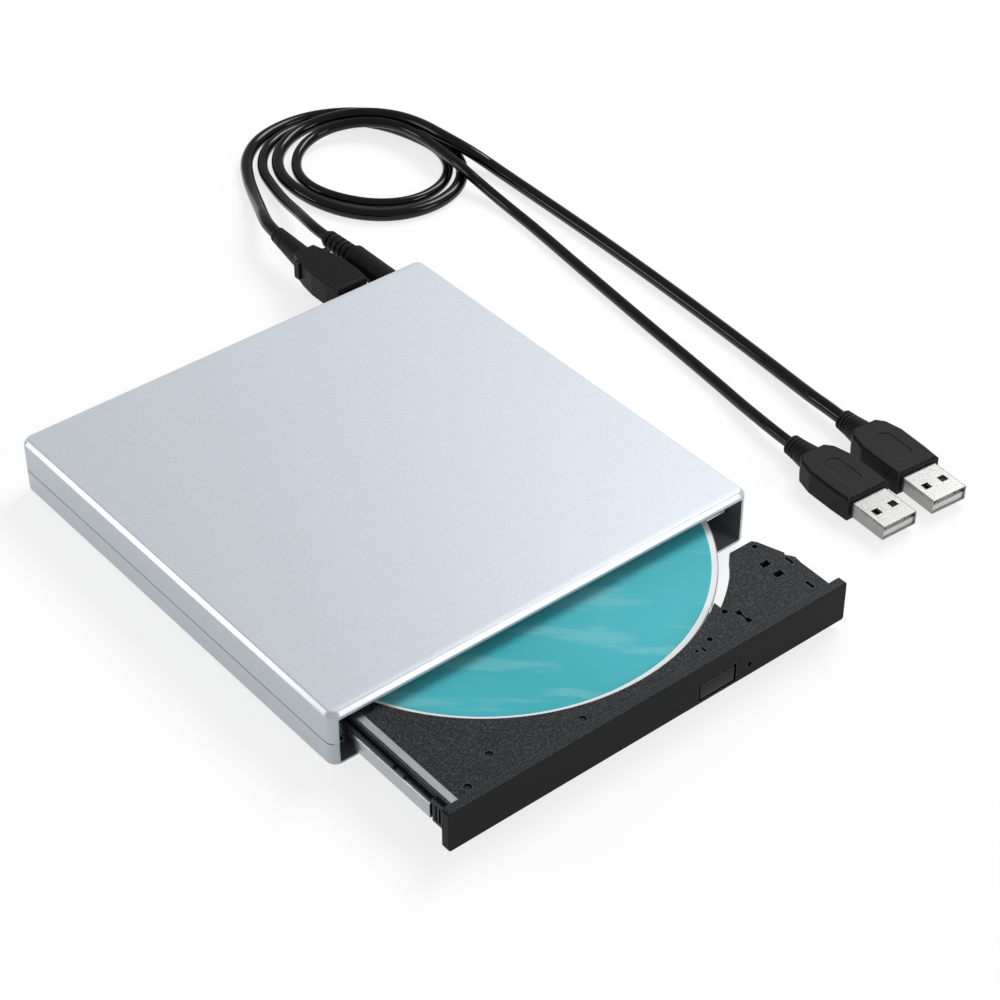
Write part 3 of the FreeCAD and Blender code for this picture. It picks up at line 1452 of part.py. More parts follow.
def make_host_plug(lead):
    """Flat computer plug: moulded body, steel shell and contact insert."""
    x, y, angle, cable = HOSTS[lead]
    turn = FreeCAD.Rotation(FreeCAD.Vector(0, 0, 1), -angle)
    place = FreeCAD.Placement(FreeCAD.Vector(x, number(front) + y, 0), turn)
    half = S.host_width / 2
    tall = S.host_height
    axis_z = tall / 2
    shoulder = S.host_length
    end = shoulder + S.host_taper
    relief = S.host_relief_radius

    body = new_body(lead + "_usb_body")
    add(body, "z", 0.0, tall,
        polygon((-half + 0.3, 0.0), (half - 0.3, 0.0), (half, 6.0), (half, shoulder),
                (half - 1.3, end - 2.5), (relief + 0.7, end), (-relief - 0.7, end),
                (-half + 1.3, end - 2.5), (-half, shoulder), (-half, 6.0)))
    dress(body, "Fillet", 1.6,
          lambda middle, direction: upright(middle, direction)
          and near(abs(middle.x), half - 1.3))
    dress(body, "Chamfer", 0.8,
          lambda middle, direction: near(middle.z, tall) or near(middle.z, 0.0))
    label = S.host_shell_width / 4
    cut(body, "z", tall, 0.2,
        rectangle(-label, label, S.host_length * 0.28, S.host_length * 1.12), down=True)
    dress(body, "Fillet", label - 0.1,
          lambda middle, direction: upright(middle, direction) and near(abs(middle.x), label))
    collar = S.host_relief / 2
    cone(body, (size(0.0), end - 0.5, axis_z), 0.0, relief + 0.6, relief, collar + 0.5)
    core = cable + 0.6
    add(body, "y", end + collar - 0.5, S.host_relief - collar + 0.5, circle(0.0, axis_z, core))
    for step in range(3):
        add(body, "y", end + collar + 0.5 + 1.3 * step, 0.7,
            circle(0.0, axis_z, relief - 0.1 - 0.1 * step))
    body.Placement = place

    shell = new_body(lead + "_usb_shell")
    wide = S.host_shell_width / 2
    high = S.host_shell_height / 2
    metal = S.host_shell_sheet
    add(shell, "y", -S.host_shell_length, S.host_shell_length,
        rectangle(-wide, wide, axis_z - high, axis_z + high))
    dress(shell, "Fillet", 0.5, lambda middle, direction: abs(direction.y) > 0.999)
    cut(shell, "y", -S.host_shell_length - 1.0, S.host_shell_length,
        rectangle(-wide + metal, wide - metal, axis_z - high + metal, axis_z + high - metal))
    cut(shell, "z", axis_z, tall,
        *[rectangle(side * 2.9 - 1.15, side * 2.9 + 1.15, -7.6, -5.3) for side in (-1.0, 1.0)])
    shell.Placement = place

    insert = new_body(lead + "_usb_insert")
    add(insert, "y", -S.host_shell_length + 0.6, S.host_shell_length - 1.6,
        rectangle(-wide + metal, wide - metal, axis_z - high + metal, axis_z - 0.1))
    insert.Placement = place


def host_exit(lead):
    """The last run of a lead, straight into the relief of its computer plug."""
    x, y, angle = HOSTS[lead][:3]
    end = number(S.host_length + S.host_taper + S.host_relief)
    return [(x + reach * math.sin(math.radians(angle)),
             y + reach * math.cos(math.radians(angle)), number(S.host_height) / 2)
            for reach in (end + 6.0, end)]


# Routes of the leads: across, behind the housing's front, and up, from each rear plug.
DATA_ROUTE = [
    (50.3, 187.3, 8.85), (50.9, 192.8, 8.85), (53.4, 199.2, 8.0), (57.4, 207.0, 5.7),
    (62.4, 217.3, 3.1), (67.4, 227.9, 2.0), (73.4, 237.9, 2.0), (82.6, 245.1, 2.0),
    (94.1, 247.7, 2.0), (105.8, 246.2, 2.0), (116.2, 240.6, 2.0), (124.4, 232.3, 2.0),
    (129.0, 221.6, 2.0), (129.7, 209.9, 2.0), (127.9, 198.3, 2.0), (122.8, 187.8, 2.0),
    (113.5, 180.6, 2.0), (102.0, 178.5, 2.0), (90.6, 181.7, 2.0), (81.9, 189.8, 2.0),
    (77.0, 200.4, 2.0), (75.3, 212.0, 2.0), (76.5, 223.8, 2.0), (82.5, 233.7, 2.3),
    (92.5, 239.4, 3.1), (104.0, 239.5, 4.1), (114.2, 234.3, 5.5), (121.4, 225.2, 6.5),
    (124.9, 214.3, 7.2), (126.0, 202.6, 7.2), (129.1, 191.7, 5.1), (131.9, 181.8, 2.0),
    (131.6, 163.9, 2.0), (131.0, 134.7, 2.0), (129.5, 99.6, 2.0), (127.0, 62.5, 2.0),
    (124.6, 42.6, 2.8), (122.8, 31.0, 3.7),
]
POWER_ROUTE = [
    (61.0, 176.7, 8.85), (61.0, 182.2, 8.85), (62.4, 188.9, 7.9), (64.9, 197.2, 5.8),
    (67.7, 208.2, 3.3), (70.8, 219.5, 2.0), (74.2, 230.5, 1.7), (81.8, 239.3, 1.9),
    (92.5, 243.7, 2.0), (104.1, 242.9, 1.7), (114.2, 237.1, 1.7), (120.7, 227.5, 1.7),
    (124.3, 216.4, 1.7), (125.7, 204.4, 1.7), (121.5, 193.3, 1.7), (112.3, 186.0, 1.7),
    (100.5, 184.9, 1.7), (89.9, 190.1, 2.1), (82.8, 200.0, 2.2), (79.6, 211.7, 2.0),
    (82.1, 223.3, 1.7), (90.2, 232.0, 2.6), (101.7, 234.4, 4.0), (112.6, 229.8, 5.2),
    (119.7, 220.3, 6.0), (121.8, 208.5, 6.0), (121.0, 197.0, 6.4), (120.0, 185.5, 6.1),
    (120.8, 174.5, 3.3), (121.0, 163.4, 1.7), (119.6, 148.2, 1.7), (116.3, 122.6, 1.7),
    (112.6, 91.7, 1.7), (109.0, 59.1, 1.7), (106.2, 43.0, 2.5), (104.2, 32.4, 3.6),
]


def build_cable(label, radius, route):
    """A free lead: straight runs joined by arcs as large as the runs allow."""
    points = [FreeCAD.Vector(x, number(front) + y, z) for x, y, z in route]
    edges = []
    radii = []
    last = points[0]
    for before, corner, after in zip(points, points[1:], points[2:]):
        run_in = corner - before
        run_out = after - corner
        turn = run_in.getAngle(run_out)
        reach = 0.45 * min(run_in.Length, run_out.Length)
        bend = reach / math.tan(turn / 2)
        radii.append(bend)
        start = corner - run_in.normalize() * reach
        end = corner + run_out.normalize() * reach
        inward = ((start + end) * 0.5 - corner).normalize()
        middle = corner + inward * (bend / math.cos(turn / 2) - bend)
        edges.append(Part.LineSegment(last, start).toShape())
        edges.append(Part.Arc(start, middle, end).toShape())
        last = end
    edges.append(Part.LineSegment(last, points[-1]).toShape())
    path = Part.Wire(edges)
    ring = Part.makeCircle(number(radius), points[0], points[1] - points[0])
    tube = path.makePipeShell([Part.Wire(ring)], True, False)
    lead = doc.addObject("Part::Feature", label)
    lead.Label = label
    lead.Shape = tube
    lead.Placement = FreeCAD.Placement()
    parts.append(lead)
    ideal = math.pi * number(radius) ** 2 * path.Length
    print(label, "length", round(path.Length, 1), "volume ratio", round(tube.Volume / ideal, 4),
          "radii", [round(bend) for bend in radii])
    return path


make_top_cover()
make_bottom_cover()
make_rubber_feet()
make_screws("cover_screws", boss_places, base + S.screw_head_depth, S.shell_height / 2)
make_screws("drive_mount_screws", mount_holes, base + S.screw_head_depth,
            pan_top - base - S.screw_head_depth)
make_drive_case()
make_drive_top_plate()
make_case_screws()
make_main_board()
make_drive_connector()
make_board_socket()
make_bridge_board()
make_data_port()
make_power_jack()
make_left_guide()
make_right_guide()
make_latch_pin()
make_ribbon_cable()
make_left_rail()
make_left_rail_slide()
make_right_rail()
make_right_rail_slide()
make_tray()
make_tray_strip()
make_front_bezel()
make_eject_button()
make_led_window()
make_underplate()
make_tray_screws()
make_mechanism_chassis()
make_guide_rods()
make_rubber_dampers()
make_sled_motor()
make_lead_screw()
make_spindle_motor()
make_turntable()
make_hub_jaws()
make_disc()
make_mechanism_cover()
make_pickup_sled()
make_objective_lens()
make_tray_board()
make_eject_solenoid()
make_latch_lever()
make_data_plug()
make_data_plug_nose()
make_power_plug()
make_power_plug_barrel()
make_host_plug("data")
make_host_plug("power")
build_cable("data_cable", S.data_cable_radius, DATA_ROUTE + host_exit("data"))
build_cable("power_cable", S.power_cable_radius, POWER_ROUTE + host_exit("power"))

doc.recompute()
for thing in doc.Objects:
    if "Invalid" in thing.State or "Error" in thing.State:
        raise ValueError(f"{thing.Label} failed: {thing.State}")
os.makedirs("parts", exist_ok=True)
for part in parts:
    shape = part.Shape
    if shape.isNull() or not shape.isValid() or not shape.Solids:
        raise ValueError(f"{part.Label} has no valid solid")
    shape.exportStep(f"parts/{part.Label}.step")
print(len(parts), "parts written")
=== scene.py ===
# %% [markdown]
# # A slim disc drive with its tray pulled out
# The drive is already built as solids: a silver housing in two halves, a black tray on
# telescopic rails, a disc on its spindle, and two leads. This lesson gives each of them its
# surface. The solids stay where they are. A piece is only remade here when its real edge or
# skin is finer than the solid shows, such as a turned disc or a soft bevel.

import json
import math

import bmesh
import bpy
from mathutils import Euler, Matrix, Vector

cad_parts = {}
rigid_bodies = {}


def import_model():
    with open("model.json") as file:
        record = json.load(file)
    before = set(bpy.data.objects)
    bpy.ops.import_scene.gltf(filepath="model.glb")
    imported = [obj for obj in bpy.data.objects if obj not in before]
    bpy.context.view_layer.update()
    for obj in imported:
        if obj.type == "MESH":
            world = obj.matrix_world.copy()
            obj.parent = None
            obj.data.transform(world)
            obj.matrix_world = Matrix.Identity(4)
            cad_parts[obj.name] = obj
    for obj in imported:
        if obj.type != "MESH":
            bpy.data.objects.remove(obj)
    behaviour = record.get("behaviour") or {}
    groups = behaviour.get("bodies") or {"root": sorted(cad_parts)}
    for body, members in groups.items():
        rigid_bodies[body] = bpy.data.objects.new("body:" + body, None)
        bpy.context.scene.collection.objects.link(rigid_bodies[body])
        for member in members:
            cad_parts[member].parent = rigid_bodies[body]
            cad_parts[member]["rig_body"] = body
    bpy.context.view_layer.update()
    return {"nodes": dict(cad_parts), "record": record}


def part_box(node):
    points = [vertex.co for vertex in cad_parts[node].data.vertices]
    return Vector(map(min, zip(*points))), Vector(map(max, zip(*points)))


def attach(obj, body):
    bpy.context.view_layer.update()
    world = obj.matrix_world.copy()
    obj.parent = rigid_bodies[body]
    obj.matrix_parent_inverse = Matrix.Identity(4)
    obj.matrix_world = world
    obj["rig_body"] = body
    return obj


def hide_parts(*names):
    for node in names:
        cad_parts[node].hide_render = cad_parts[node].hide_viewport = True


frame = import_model()
nodes = frame["nodes"]
MM = 0.001

# %% [markdown]
# ## The view
# The photograph looks down on the front left corner from about 0.69 m away. A camera that
# sees the same thing needs three facts: where it stands, which way it points, and how long
# its lens is. They were worked out from the straight edges of the housing and the round disc.

# %% Camera
CAMERA_PLACE = (-320.6 * MM, -421.9 * MM, 447.8 * MM)
CAMERA_TURN = -39.3
CAMERA_TILT = 39.08
LENS_MM = 94.75
SENSOR_MM = 36.0
NEAREST = 10 * MM

view = bpy.data.cameras.new("view")
view.lens = LENS_MM
view.sensor_width = SENSOR_MM
view.sensor_fit = "HORIZONTAL"
view.clip_start = NEAREST
camera = bpy.data.objects.new("camera", view)
camera.location = CAMERA_PLACE
camera.rotation_euler = Euler((math.radians(90 - CAMERA_TILT), 0, math.radians(CAMERA_TURN)))
bpy.context.collection.objects.link(camera)
scene = bpy.context.scene
scene.camera = camera
scene.view_settings.view_transform = "Standard"
print("the camera stands", round(Vector(CAMERA_PLACE).length, 2), "m from the middle")


# %% [markdown]
# ## Colours and nodes
# Every material below is a small tree of nodes. One function adds a node, sets its values
# and links its inputs, which keeps a tree as short as a sentence. Another turns the hex
# colours that people write into the linear numbers that a renderer wants. Without that step
# every tone would come out too pale.

# %% Colour and node helpers
def colour(code, alpha=1.0):
    """sRGB hex to linear."""
    parts = [int(code[i:i + 2], 16) / 255 for i in (1, 3, 5)]
    linear = [p / 12.92 if p <= 0.04045 else ((p + 0.055) / 1.055) ** 2.4 for p in parts]
    return (*linear, alpha)


def node(tree, kind, inputs=None, **settings):
    """Add a node; inputs maps a socket's name or number to a value or another socket."""
    new = tree.nodes.new(kind)
    for name, value in settings.items():
        setattr(new, name, value)
    for name, value in (inputs or {}).items():
        if isinstance(value, bpy.types.NodeSocket):
            tree.links.new(value, new.inputs[name])
        else:
            new.inputs[name].default_value = value
    return new


def material(name, roughness=0.5, specular=0.5, metallic=0.0):
    """A material with its shader set: returns the material, its tree and its shader."""
    made = bpy.data.materials.new(name)
    made.use_nodes = True
    shader = made.node_tree.nodes["Principled BSDF"]
    shader.inputs["Roughness"].default_value = roughness
    shader.inputs["Specular IOR Level"].default_value = specular
    shader.inputs["Metallic"].default_value = metallic
    return made, made.node_tree, shader


def tint(tree, shader, tone):
    """Give a shader the colour that comes out of a socket."""
    tree.links.new(tone, shader.inputs["Base Color"])


print("one hex tone in linear numbers:", [round(c, 3) for c in colour("#808080")[:3]])


# %% [markdown]
# ## Patterns
# A real surface is never one flat tone. Its grain, flakes and marks could be painted in a
# picture, but a picture has a fixed sharpness and has to be wrapped. A pattern worked out
# from the place on the object has neither limit, and its size can be given in millimetres.

# %% Pattern helpers
def object_place(tree, scale=(1, 1, 1), shift=(0, 0, 0)):
    """A point on the object in metres, stretched by a scale and then shifted."""
    where = node(tree, "ShaderNodeTexCoord")
    return node(tree, "ShaderNodeMapping", {"Vector": where.outputs["Object"], "Scale": scale,
                                            "Location": shift}).outputs["Vector"]


def noise(tree, place, size_mm, detail=3.0):
    """Cloudy noise whose lumps are about as large as given in millimetres."""
    return node(tree, "ShaderNodeTexNoise", {"Vector": place, "Scale": 1 / (size_mm * MM),
                                             "Detail": detail}).outputs["Fac"]


def sums(tree, operation, first, second=0.0):
    """One sum on two values."""
    return node(tree, "ShaderNodeMath", {0: first, 1: second}, operation=operation).outputs[0]


def ramp(tree, value, *stops):
    """A colour ramp with stops of place and hex colour."""
    made = node(tree, "ShaderNodeValToRGB", {"Fac": value})
    band = made.color_ramp
    for index, (place, tone) in enumerate(stops):
        stop = band.elements[index] if index < 2 else band.elements.new(place)
        stop.position = place
        stop.color = colour(tone) if isinstance(tone, str) else tone
    return made.outputs["Color"]


def mix(tree, share, first, second):
    """The first colour where the share is 0, and the second where it is 1."""
    return node(tree, "ShaderNodeMix", {0: share, 6: first, 7: second},
                data_type="RGBA").outputs[2]


def around(tone, share):
    """Two tones, a share darker and a share lighter than one hex colour."""
    base = colour(tone)[:3]
    return [tuple(min(1.0, c * k) for c in base) + (1.0,) for k in (1 - share, 1 + share)]


def spread(tree, value, low, high, to_low=0.0, to_high=1.0):
    """Stretch a value from one range to another."""
    return node(tree, "ShaderNodeMapRange", {"Value": value, "From Min": low, "From Max": high,
                                             "To Min": to_low, "To Max": to_high}
                ).outputs["Result"]


# %% [markdown]
# ## Skin and edges
# Two things make a moulded surface look real: a fine skin, and edges that aren't knife
# sharp. The skin is a bump. The edges could be cut into every mesh, but most of these are
# under half a millimetre, so a node that only rounds the shading does the same work.
#
# The same node finds the edges. Where its rounded normal leaves the flat one, the surface is an
# edge, and a paler tone is painted there as a highlight. Where a point sees little open sky, it
# lies in a groove, and a near-black tone is painted there as shade.

# %% Skin and edge helpers
# Thresholds and tones for a painted highlight on edges and painted shade in grooves.
EDGE_STARTS, EDGE_FULL = 0.995, 0.85
OPEN_SKY = 0.75
GROOVE_REACH_MM = 0.7
GROOVE_FULL, GROOVE_STARTS, GROOVE_SHARE = 0.35, 0.85, 0.85
# The near-black tone painted as shade at the bottom of grooves.
GROOVE_SHADE_TONE = "#020202"


def relief(tree, shader, height, depth_mm, edge_mm=0.15):
    """Raise the surface by a height from 0 to 1, and round its edges in the shading."""
    edge = node(tree, "ShaderNodeBevel", {"Radius": edge_mm * MM}, samples=4)
    made = node(tree, "ShaderNodeBump", {"Height": height, "Distance": depth_mm * MM,
                                         "Normal": edge.outputs["Normal"]})
    tree.links.new(made.outputs["Normal"], shader.inputs["Normal"])


def edge_highlight_and_groove_shade(tree, tone, highlight_tone, width_mm, share):
    """A tone with a painted highlight on outer edges and painted shade down in grooves."""
    soft = node(tree, "ShaderNodeBevel", {"Radius": width_mm * MM}, samples=6)
    flat = node(tree, "ShaderNodeNewGeometry").outputs["True Normal"]
    match = node(tree, "ShaderNodeVectorMath", {0: soft.outputs["Normal"], 1: flat},
                 operation="DOT_PRODUCT").outputs["Value"]
    edge = spread(tree, match, EDGE_STARTS, EDGE_FULL, 0.0, share)
    sky = node(tree, "ShaderNodeAmbientOcclusion", {"Distance": GROOVE_REACH_MM * MM},
               samples=4, only_local=True).outputs["AO"]
    outer = spread(tree, sky, OPEN_SKY, 1.0)
    groove_shade = spread(tree, sky, GROOVE_FULL, GROOVE_STARTS, GROOVE_SHARE, 0.0)
    shaded = mix(tree, groove_shade, tone, colour(GROOVE_SHADE_TONE))
    return mix(tree, sums(tree, "MULTIPLY", edge, outer), shaded, colour(highlight_tone))


# %% [markdown]
# ## Families of finish
# Most pieces of a drive are one of three things: plainly moulded plastic, plastic with a
# grain, or bare metal. Each family gets one function, so a finish is then a single line of
# its tone and its measures, and finishes of one family stay alike.

# %% Three families
MOTTLE_MM = 22
# The width and share of the painted edge highlight.
EDGE_WIDTH_MM, EDGE_HIGHLIGHT_SHARE = 0.45, 0.8
METAL_EDGE_MM = 0.08
METAL_UNEVEN = 0.07
ROUGH_LOW, ROUGH_HIGH = 0.8, 1.25


def moulded(name, tone, roughness, grain_mm, depth_mm, uneven=0.06, specular=0.5,
            highlight_tone=None):
    """A moulded or painted surface: one tone, faint mottling, a fine skin and soft edges, with
    a painted edge highlight and groove shade when a highlight tone is given.
    """
    made, tree, shader = material(name, roughness, specular)
    place = object_place(tree)
    low, high = around(tone, uneven)
    base = ramp(tree, noise(tree, place, MOTTLE_MM, 4.0), (0.3, low), (0.7, high))
    if highlight_tone:
        base = edge_highlight_and_groove_shade(tree, base, highlight_tone, EDGE_WIDTH_MM, EDGE_HIGHLIGHT_SHARE)
    tint(tree, shader, base)
    relief(tree, shader, noise(tree, place, grain_mm), depth_mm)
    return made


def lit_and_shaded_grain(name, specular, grain_mm, grain_shade_to_highlight, edge, depth_mm, edge_mm):
    """A grained black plastic, with painted shade in the hollows of the grain and a painted
    highlight on its tops.
    """
    made, tree, shader = material(name, 0.5, specular)
    grain = noise(tree, object_place(tree), grain_mm, 2.0)
    tint(tree, shader, edge_highlight_and_groove_shade(tree, ramp(tree, grain, *grain_shade_to_highlight), *edge))
    relief(tree, shader, grain, depth_mm, edge_mm)
    return made


def metal(name, tone, roughness, streak=(1, 1, 1), grain_mm=0.3, depth_mm=0.004):
    """A bare metal with rolling or grinding marks along one direction."""
    made, tree, shader = material(name, roughness, 0.5, 1.0)
    marks = noise(tree, object_place(tree, streak), grain_mm, 4.0)
    low, high = around(tone, METAL_UNEVEN)
    tint(tree, shader, ramp(tree, marks, (0.3, low), (0.7, high)))
    rough = spread(tree, marks, 0.3, 0.7, roughness * ROUGH_LOW, roughness * ROUGH_HIGH)
    tree.links.new(rough, shader.inputs["Roughness"])
    relief(tree, shader, marks, depth_mm, METAL_EDGE_MM)
    return made


# %% [markdown]
# ## Finishes
# Each finish is named for what the real surface is. Colours are as the eye reads them in the
# photograph; the grain of each is given its real size.
#
# The housing's paint is a clear lacquer with fine metal flakes. Part of the light comes back as
# from a metal, which makes the roof grow brighter towards the lamp, and the flakes give it a
# fine sparkle. The bevel round the roof is smoother, and its paler tone is a painted highlight.
# Inside, the plastic is left bare.

# %% Housing
FLAKE_MM = 0.3

silver, tree, shader = material("silver paint on moulded plastic", 0.5, 0.4, 0.3)
flakes = noise(tree, object_place(tree), FLAKE_MM, 2.0)
tint(tree, shader, ramp(tree, flakes, (0.3, "#D0D7DE"), (0.7, "#E2E8EF")))
relief(tree, shader, flakes, 0.006)
# The bevel's paint is a smoother copy of the silver with a paler tone, painted in as a
# highlight.
highlit, tree, shader = material("silver lacquer on a burnished bevel", 0.28, 0.5, 0.4)
flakes = noise(tree, object_place(tree), FLAKE_MM, 2.0)
tint(tree, shader, ramp(tree, flakes, (0.3, "#DDE3E9"), (0.7, "#E8EDF2")))
bare_plastic = moulded("unpainted grey plastic", "#6E6F74", 0.5, 0.5, 0.01)
print("the housing has", silver.name + ",", highlit.name, "and", bare_plastic.name)

# %% [markdown]
# The tray has a leather grain, moulded in, with lumps of about 0.4 mm. Its front is smoother
# and darker, so that the button and the lamp show. The computer plugs are soft vinyl with a
# finer, flatter grain, and the jackets of the leads are smooth and shine. All of them are
# black, so what tells them apart is the grain, the gloss and the tone of the highlight painted
# on their edges.

# %% Black plastics
# The grain's tones run from painted shade in its hollows to a painted highlight on its tops;
# the last group is the painted edge highlight: its tone, width and share.
grained = lit_and_shaded_grain("plastic with moulded leather grain", 0.2, 0.4,
                   ((0.36, "#0F1012"), (0.5, "#1E1F22"), (0.7, "#484A4F")),
                   ("#7A7C80", 0.35, 0.7), 0.15, 0.1)
soft_vinyl = lit_and_shaded_grain("soft vinyl plug skin", 0.15, 0.35,
                      ((0.38, "#020203"), (0.68, "#202123")),
                      ("#565859", 0.5, 0.8), 0.06, 0.45)
# Satin, button and acetal carry a painted highlight tone on their edges and painted shade in
# their grooves.
satin = moulded("smooth matt plastic", "#0D0E10", 0.42, 0.6, 0.004, specular=0.09,
                highlight_tone="#5A5C60")
button_skin = moulded("smooth button", "#131416", 0.36, 0.6, 0.004, specular=0.15,
                      highlight_tone="#A2A4A8")
acetal = moulded("black acetal", "#26282A", 0.35, 0.6, 0.006, specular=0.4,
                 highlight_tone="#6A6C70")
rubber = moulded("black rubber", "#161616", 0.7, 0.4, 0.02, specular=0.3)
nylon = moulded("black nylon", "#101012", 0.45, 0.5, 0.006)
white_nylon = moulded("white nylon", "#F6F6F4", 0.4, 0.5, 0.004)
cover_paint = moulded("black painted sheet", "#141415", 0.5, 0.4, 0.01)
vinyl = moulded("glossy vinyl jacket", "#070708", 0.13, 3.0, 0.02, specular=0.3)
clear = moulded("smoked acrylic light bar", "#060707", 0.3, 0.8, 0.002, specular=0.06)
print(len(bpy.data.materials), "finishes so far")

# %% [markdown]
# The metals differ less in tone than in how they were made. Rolled sheet and ground rod have
# marks along one direction, so their pattern is drawn out along the drive. Castings, plating
# and drawn cans have none, so theirs is even.

# %% Metals
ALONG_SHEET, ALONG_ROD, EVEN = (1, 0.15, 1), (1, 0.1, 1), (1, 1, 1)

rolled = metal("rolled zinc-plated steel", "#B2B6BA", 0.26, ALONG_SHEET)
nickel = metal("bright nickel plate", "#9A9A99", 0.3, EVEN, 0.25, 0.0015)
ground = metal("ground steel rod", "#C9CACC", 0.15, ALONG_ROD)
screw_zinc = metal("zinc-plated screw", "#9EA2A6", 0.3)
can_steel = metal("drawn steel can", "#A8ABAF", 0.3)
alloy = metal("die-cast alloy", "#8E9195", 0.45, EVEN, 0.5, 0.02)
gold = metal("gold-plated contact", "#D9B25F", 0.2)
trim_strip = metal("brushed trim strip", "#A6A8AC", 0.4, ALONG_ROD)
# The cut edge's near-white tone is a painted highlight.
cut_edge_highlight = metal("freshly cut steel edge", "#F2F3F5", 0.6)
print(len(bpy.data.materials), "finishes with the metals")

# %% [markdown]
# A thread is a ridge that climbs as it goes round. Its height at a point is a wave of the
# turn angle plus the distance along the screw, so no thread has to be cut.

# %% Lead screw
SCREW_X, SCREW_Z = -30.0 * MM, 7.4 * MM
PITCH = 3.0 * MM
THREAD_DEEP_MM = 0.3

threaded, tree, shader = material("ground steel thread", 0.2, 0.5, 1.0)
shader.inputs["Base Color"].default_value = colour("#B9BBBD")
parts = node(tree, "ShaderNodeSeparateXYZ", {"Vector": object_place(tree)}).outputs
angle = sums(tree, "ARCTAN2", sums(tree, "SUBTRACT", parts["Z"], SCREW_Z),
             sums(tree, "SUBTRACT", parts["X"], SCREW_X))
climb = sums(tree, "MULTIPLY", parts["Y"], 2 * math.pi / PITCH)
wave = sums(tree, "SINE", sums(tree, "ADD", angle, climb))
relief(tree, shader, wave, THREAD_DEEP_MM)
print("the thread climbs", PITCH / MM, "mm a turn")

# %% [markdown]
# A circuit board is glass cloth under a green mask, with copper tracks that show through as
# paler lines. The board and its chips are one solid here, so the height decides: everything
# above the mask is chip, and black. One function serves the three boards.

# %% Circuit boards
TRACK_MM = 4.0
MASK_TONES = {"Color1": "#1B5236", "Color2": "#1F5D3D", "Mortar": "#2F7A52"}


def circuit(name, chip_level_mm):
    """Solder mask with buried tracks, and dark chips above a level."""
    made, tree, shader = material(name, 0.4)
    place = object_place(tree)
    tracks = node(tree, "ShaderNodeTexBrick", {
        "Vector": place, "Scale": 1 / (TRACK_MM * MM), "Mortar Size": 0.03,
        **{socket: colour(tone) for socket, tone in MASK_TONES.items()}})
    level = node(tree, "ShaderNodeSeparateXYZ", {"Vector": place}).outputs["Z"]
    chip = sums(tree, "GREATER_THAN", level, chip_level_mm * MM)
    tint(tree, shader, mix(tree, chip, tracks.outputs["Color"], colour("#18191B")))
    return made


main_circuit = circuit("green board with chips", 4.85)
rear_circuit = circuit("green board behind the drive", 6.95)
tray_circuit = circuit("green board behind the front", 4.9)
print("three boards, each black above its own level")

# %% [markdown]
# The film cable is amber film with copper lines along it, which a wave across the drive
# draws. The lens is coated glass: a glossy surface with a bluish tone under a clear coat.
# Real glass would need many more light paths for a piece of four millimetres.

# %% Film and lens
LINES_MM = 3.2

film, tree, shader = material("polyimide film with copper lines", 0.3)
lines = node(tree, "ShaderNodeTexWave",
             {"Vector": object_place(tree), "Scale": 1 / (LINES_MM * MM)},
             bands_direction="X").outputs["Fac"]
tint(tree, shader, ramp(tree, lines, (0.35, "#7A4416"), (0.65, "#B8742E")))
lens_glass, tree, shader = material("coated glass lens", 0.05)
shader.inputs["Base Color"].default_value = colour("#7F8FD0")
shader.inputs["Coat Weight"].default_value = 1.0
print(len(bpy.data.materials), "finishes in all before the disc's")

# %% [markdown]
# Every solid was packed with a slot that says what it is made of. A table from slot to
# finish dresses them all at once, and four solids that need their own finish have a second
# table. That is shorter and safer than a line for each of the 56 solids.

# %% Give each solid its finish
FINISH = {
    "silver_paint": silver, "foot_rubber": rubber, "screw_steel": screw_zinc,
    "sheet_steel": rolled, "board_green": main_circuit, "connector_black": nylon,
    "insert_white": white_nylon, "plated_steel": nickel, "guide_nylon": acetal,
    "grained_black": grained, "bezel_black": satin, "lamp_clear": clear,
    "cover_black": cover_paint, "ground_steel": ground, "motor_metal": can_steel,
    "turntable_black": acetal, "disc_print": clear, "pickup_alloy": alloy,
    "lens_glass": lens_glass, "film_amber": film, "plug_black": soft_vinyl,
    "cable_black": vinyl,
}
OWN_FINISH = {"bridge_board": rear_circuit, "tray_board": tray_circuit,
              "lead_screw": threaded, "tray_strip": trim_strip}
slots = {}
for part in frame["record"]["subparts"]:
    name = part["node"]
    slots[name] = part["material_slot"]
    mesh = nodes[name].data
    mesh.materials.clear()
    mesh.materials.append(OWN_FINISH.get(name, FINISH[slots[name]]))
print(len(slots), "solids have a finish")

# %% [markdown]
# ## The housing's real edges
# The two halves of the housing are solid blocks with sharp edges. Here each is copied, its
# flat faces are joined up again, and only the edges that the eye meets are rounded. The
# paint stops at the mouth: inside, the plastic is bare and dark. The lower half is drawn
# back by a hair at the seam, because real halves never close without a shadow line.
#
# A modifier could round the edges of a piece, but it would round all of them. A few helpers
# that work on a copy of the mesh let each piece choose. A point within a hair of a face
# counts as lying on it.

# %% Helpers for remade pieces
ROUND_MM = 0.28
BEVEL_STEPS = 3
JOIN_MM = 0.002
FLAT_DEGREES = 0.3
EDGE_DEGREES = 25
SHARP_DEGREES = 30
HAIR = 0.05


def stand_in(name, mesh):
    """Show a mesh in place of a solid, riding on the same body."""
    made = bpy.data.objects.new(name + "_finished", mesh)
    bpy.context.collection.objects.link(made)
    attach(made, nodes[name]["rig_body"])
    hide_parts(name)


def smooth(mesh):
    """Shade a mesh smooth, but keep its sharp edges sharp."""
    mesh.polygons.foreach_set("use_smooth", [True] * len(mesh.polygons))
    mesh.set_sharp_from_angle(angle=math.radians(SHARP_DEGREES))


def repaint(mesh, finishes, pick):
    """Give each face of a mesh the finish whose number is picked from its place and facing."""
    mesh.materials.clear()
    for finish in finishes:
        mesh.materials.append(finish)
    for face in mesh.polygons:
        face.material_index = int(pick(face.center / MM, face.normal))


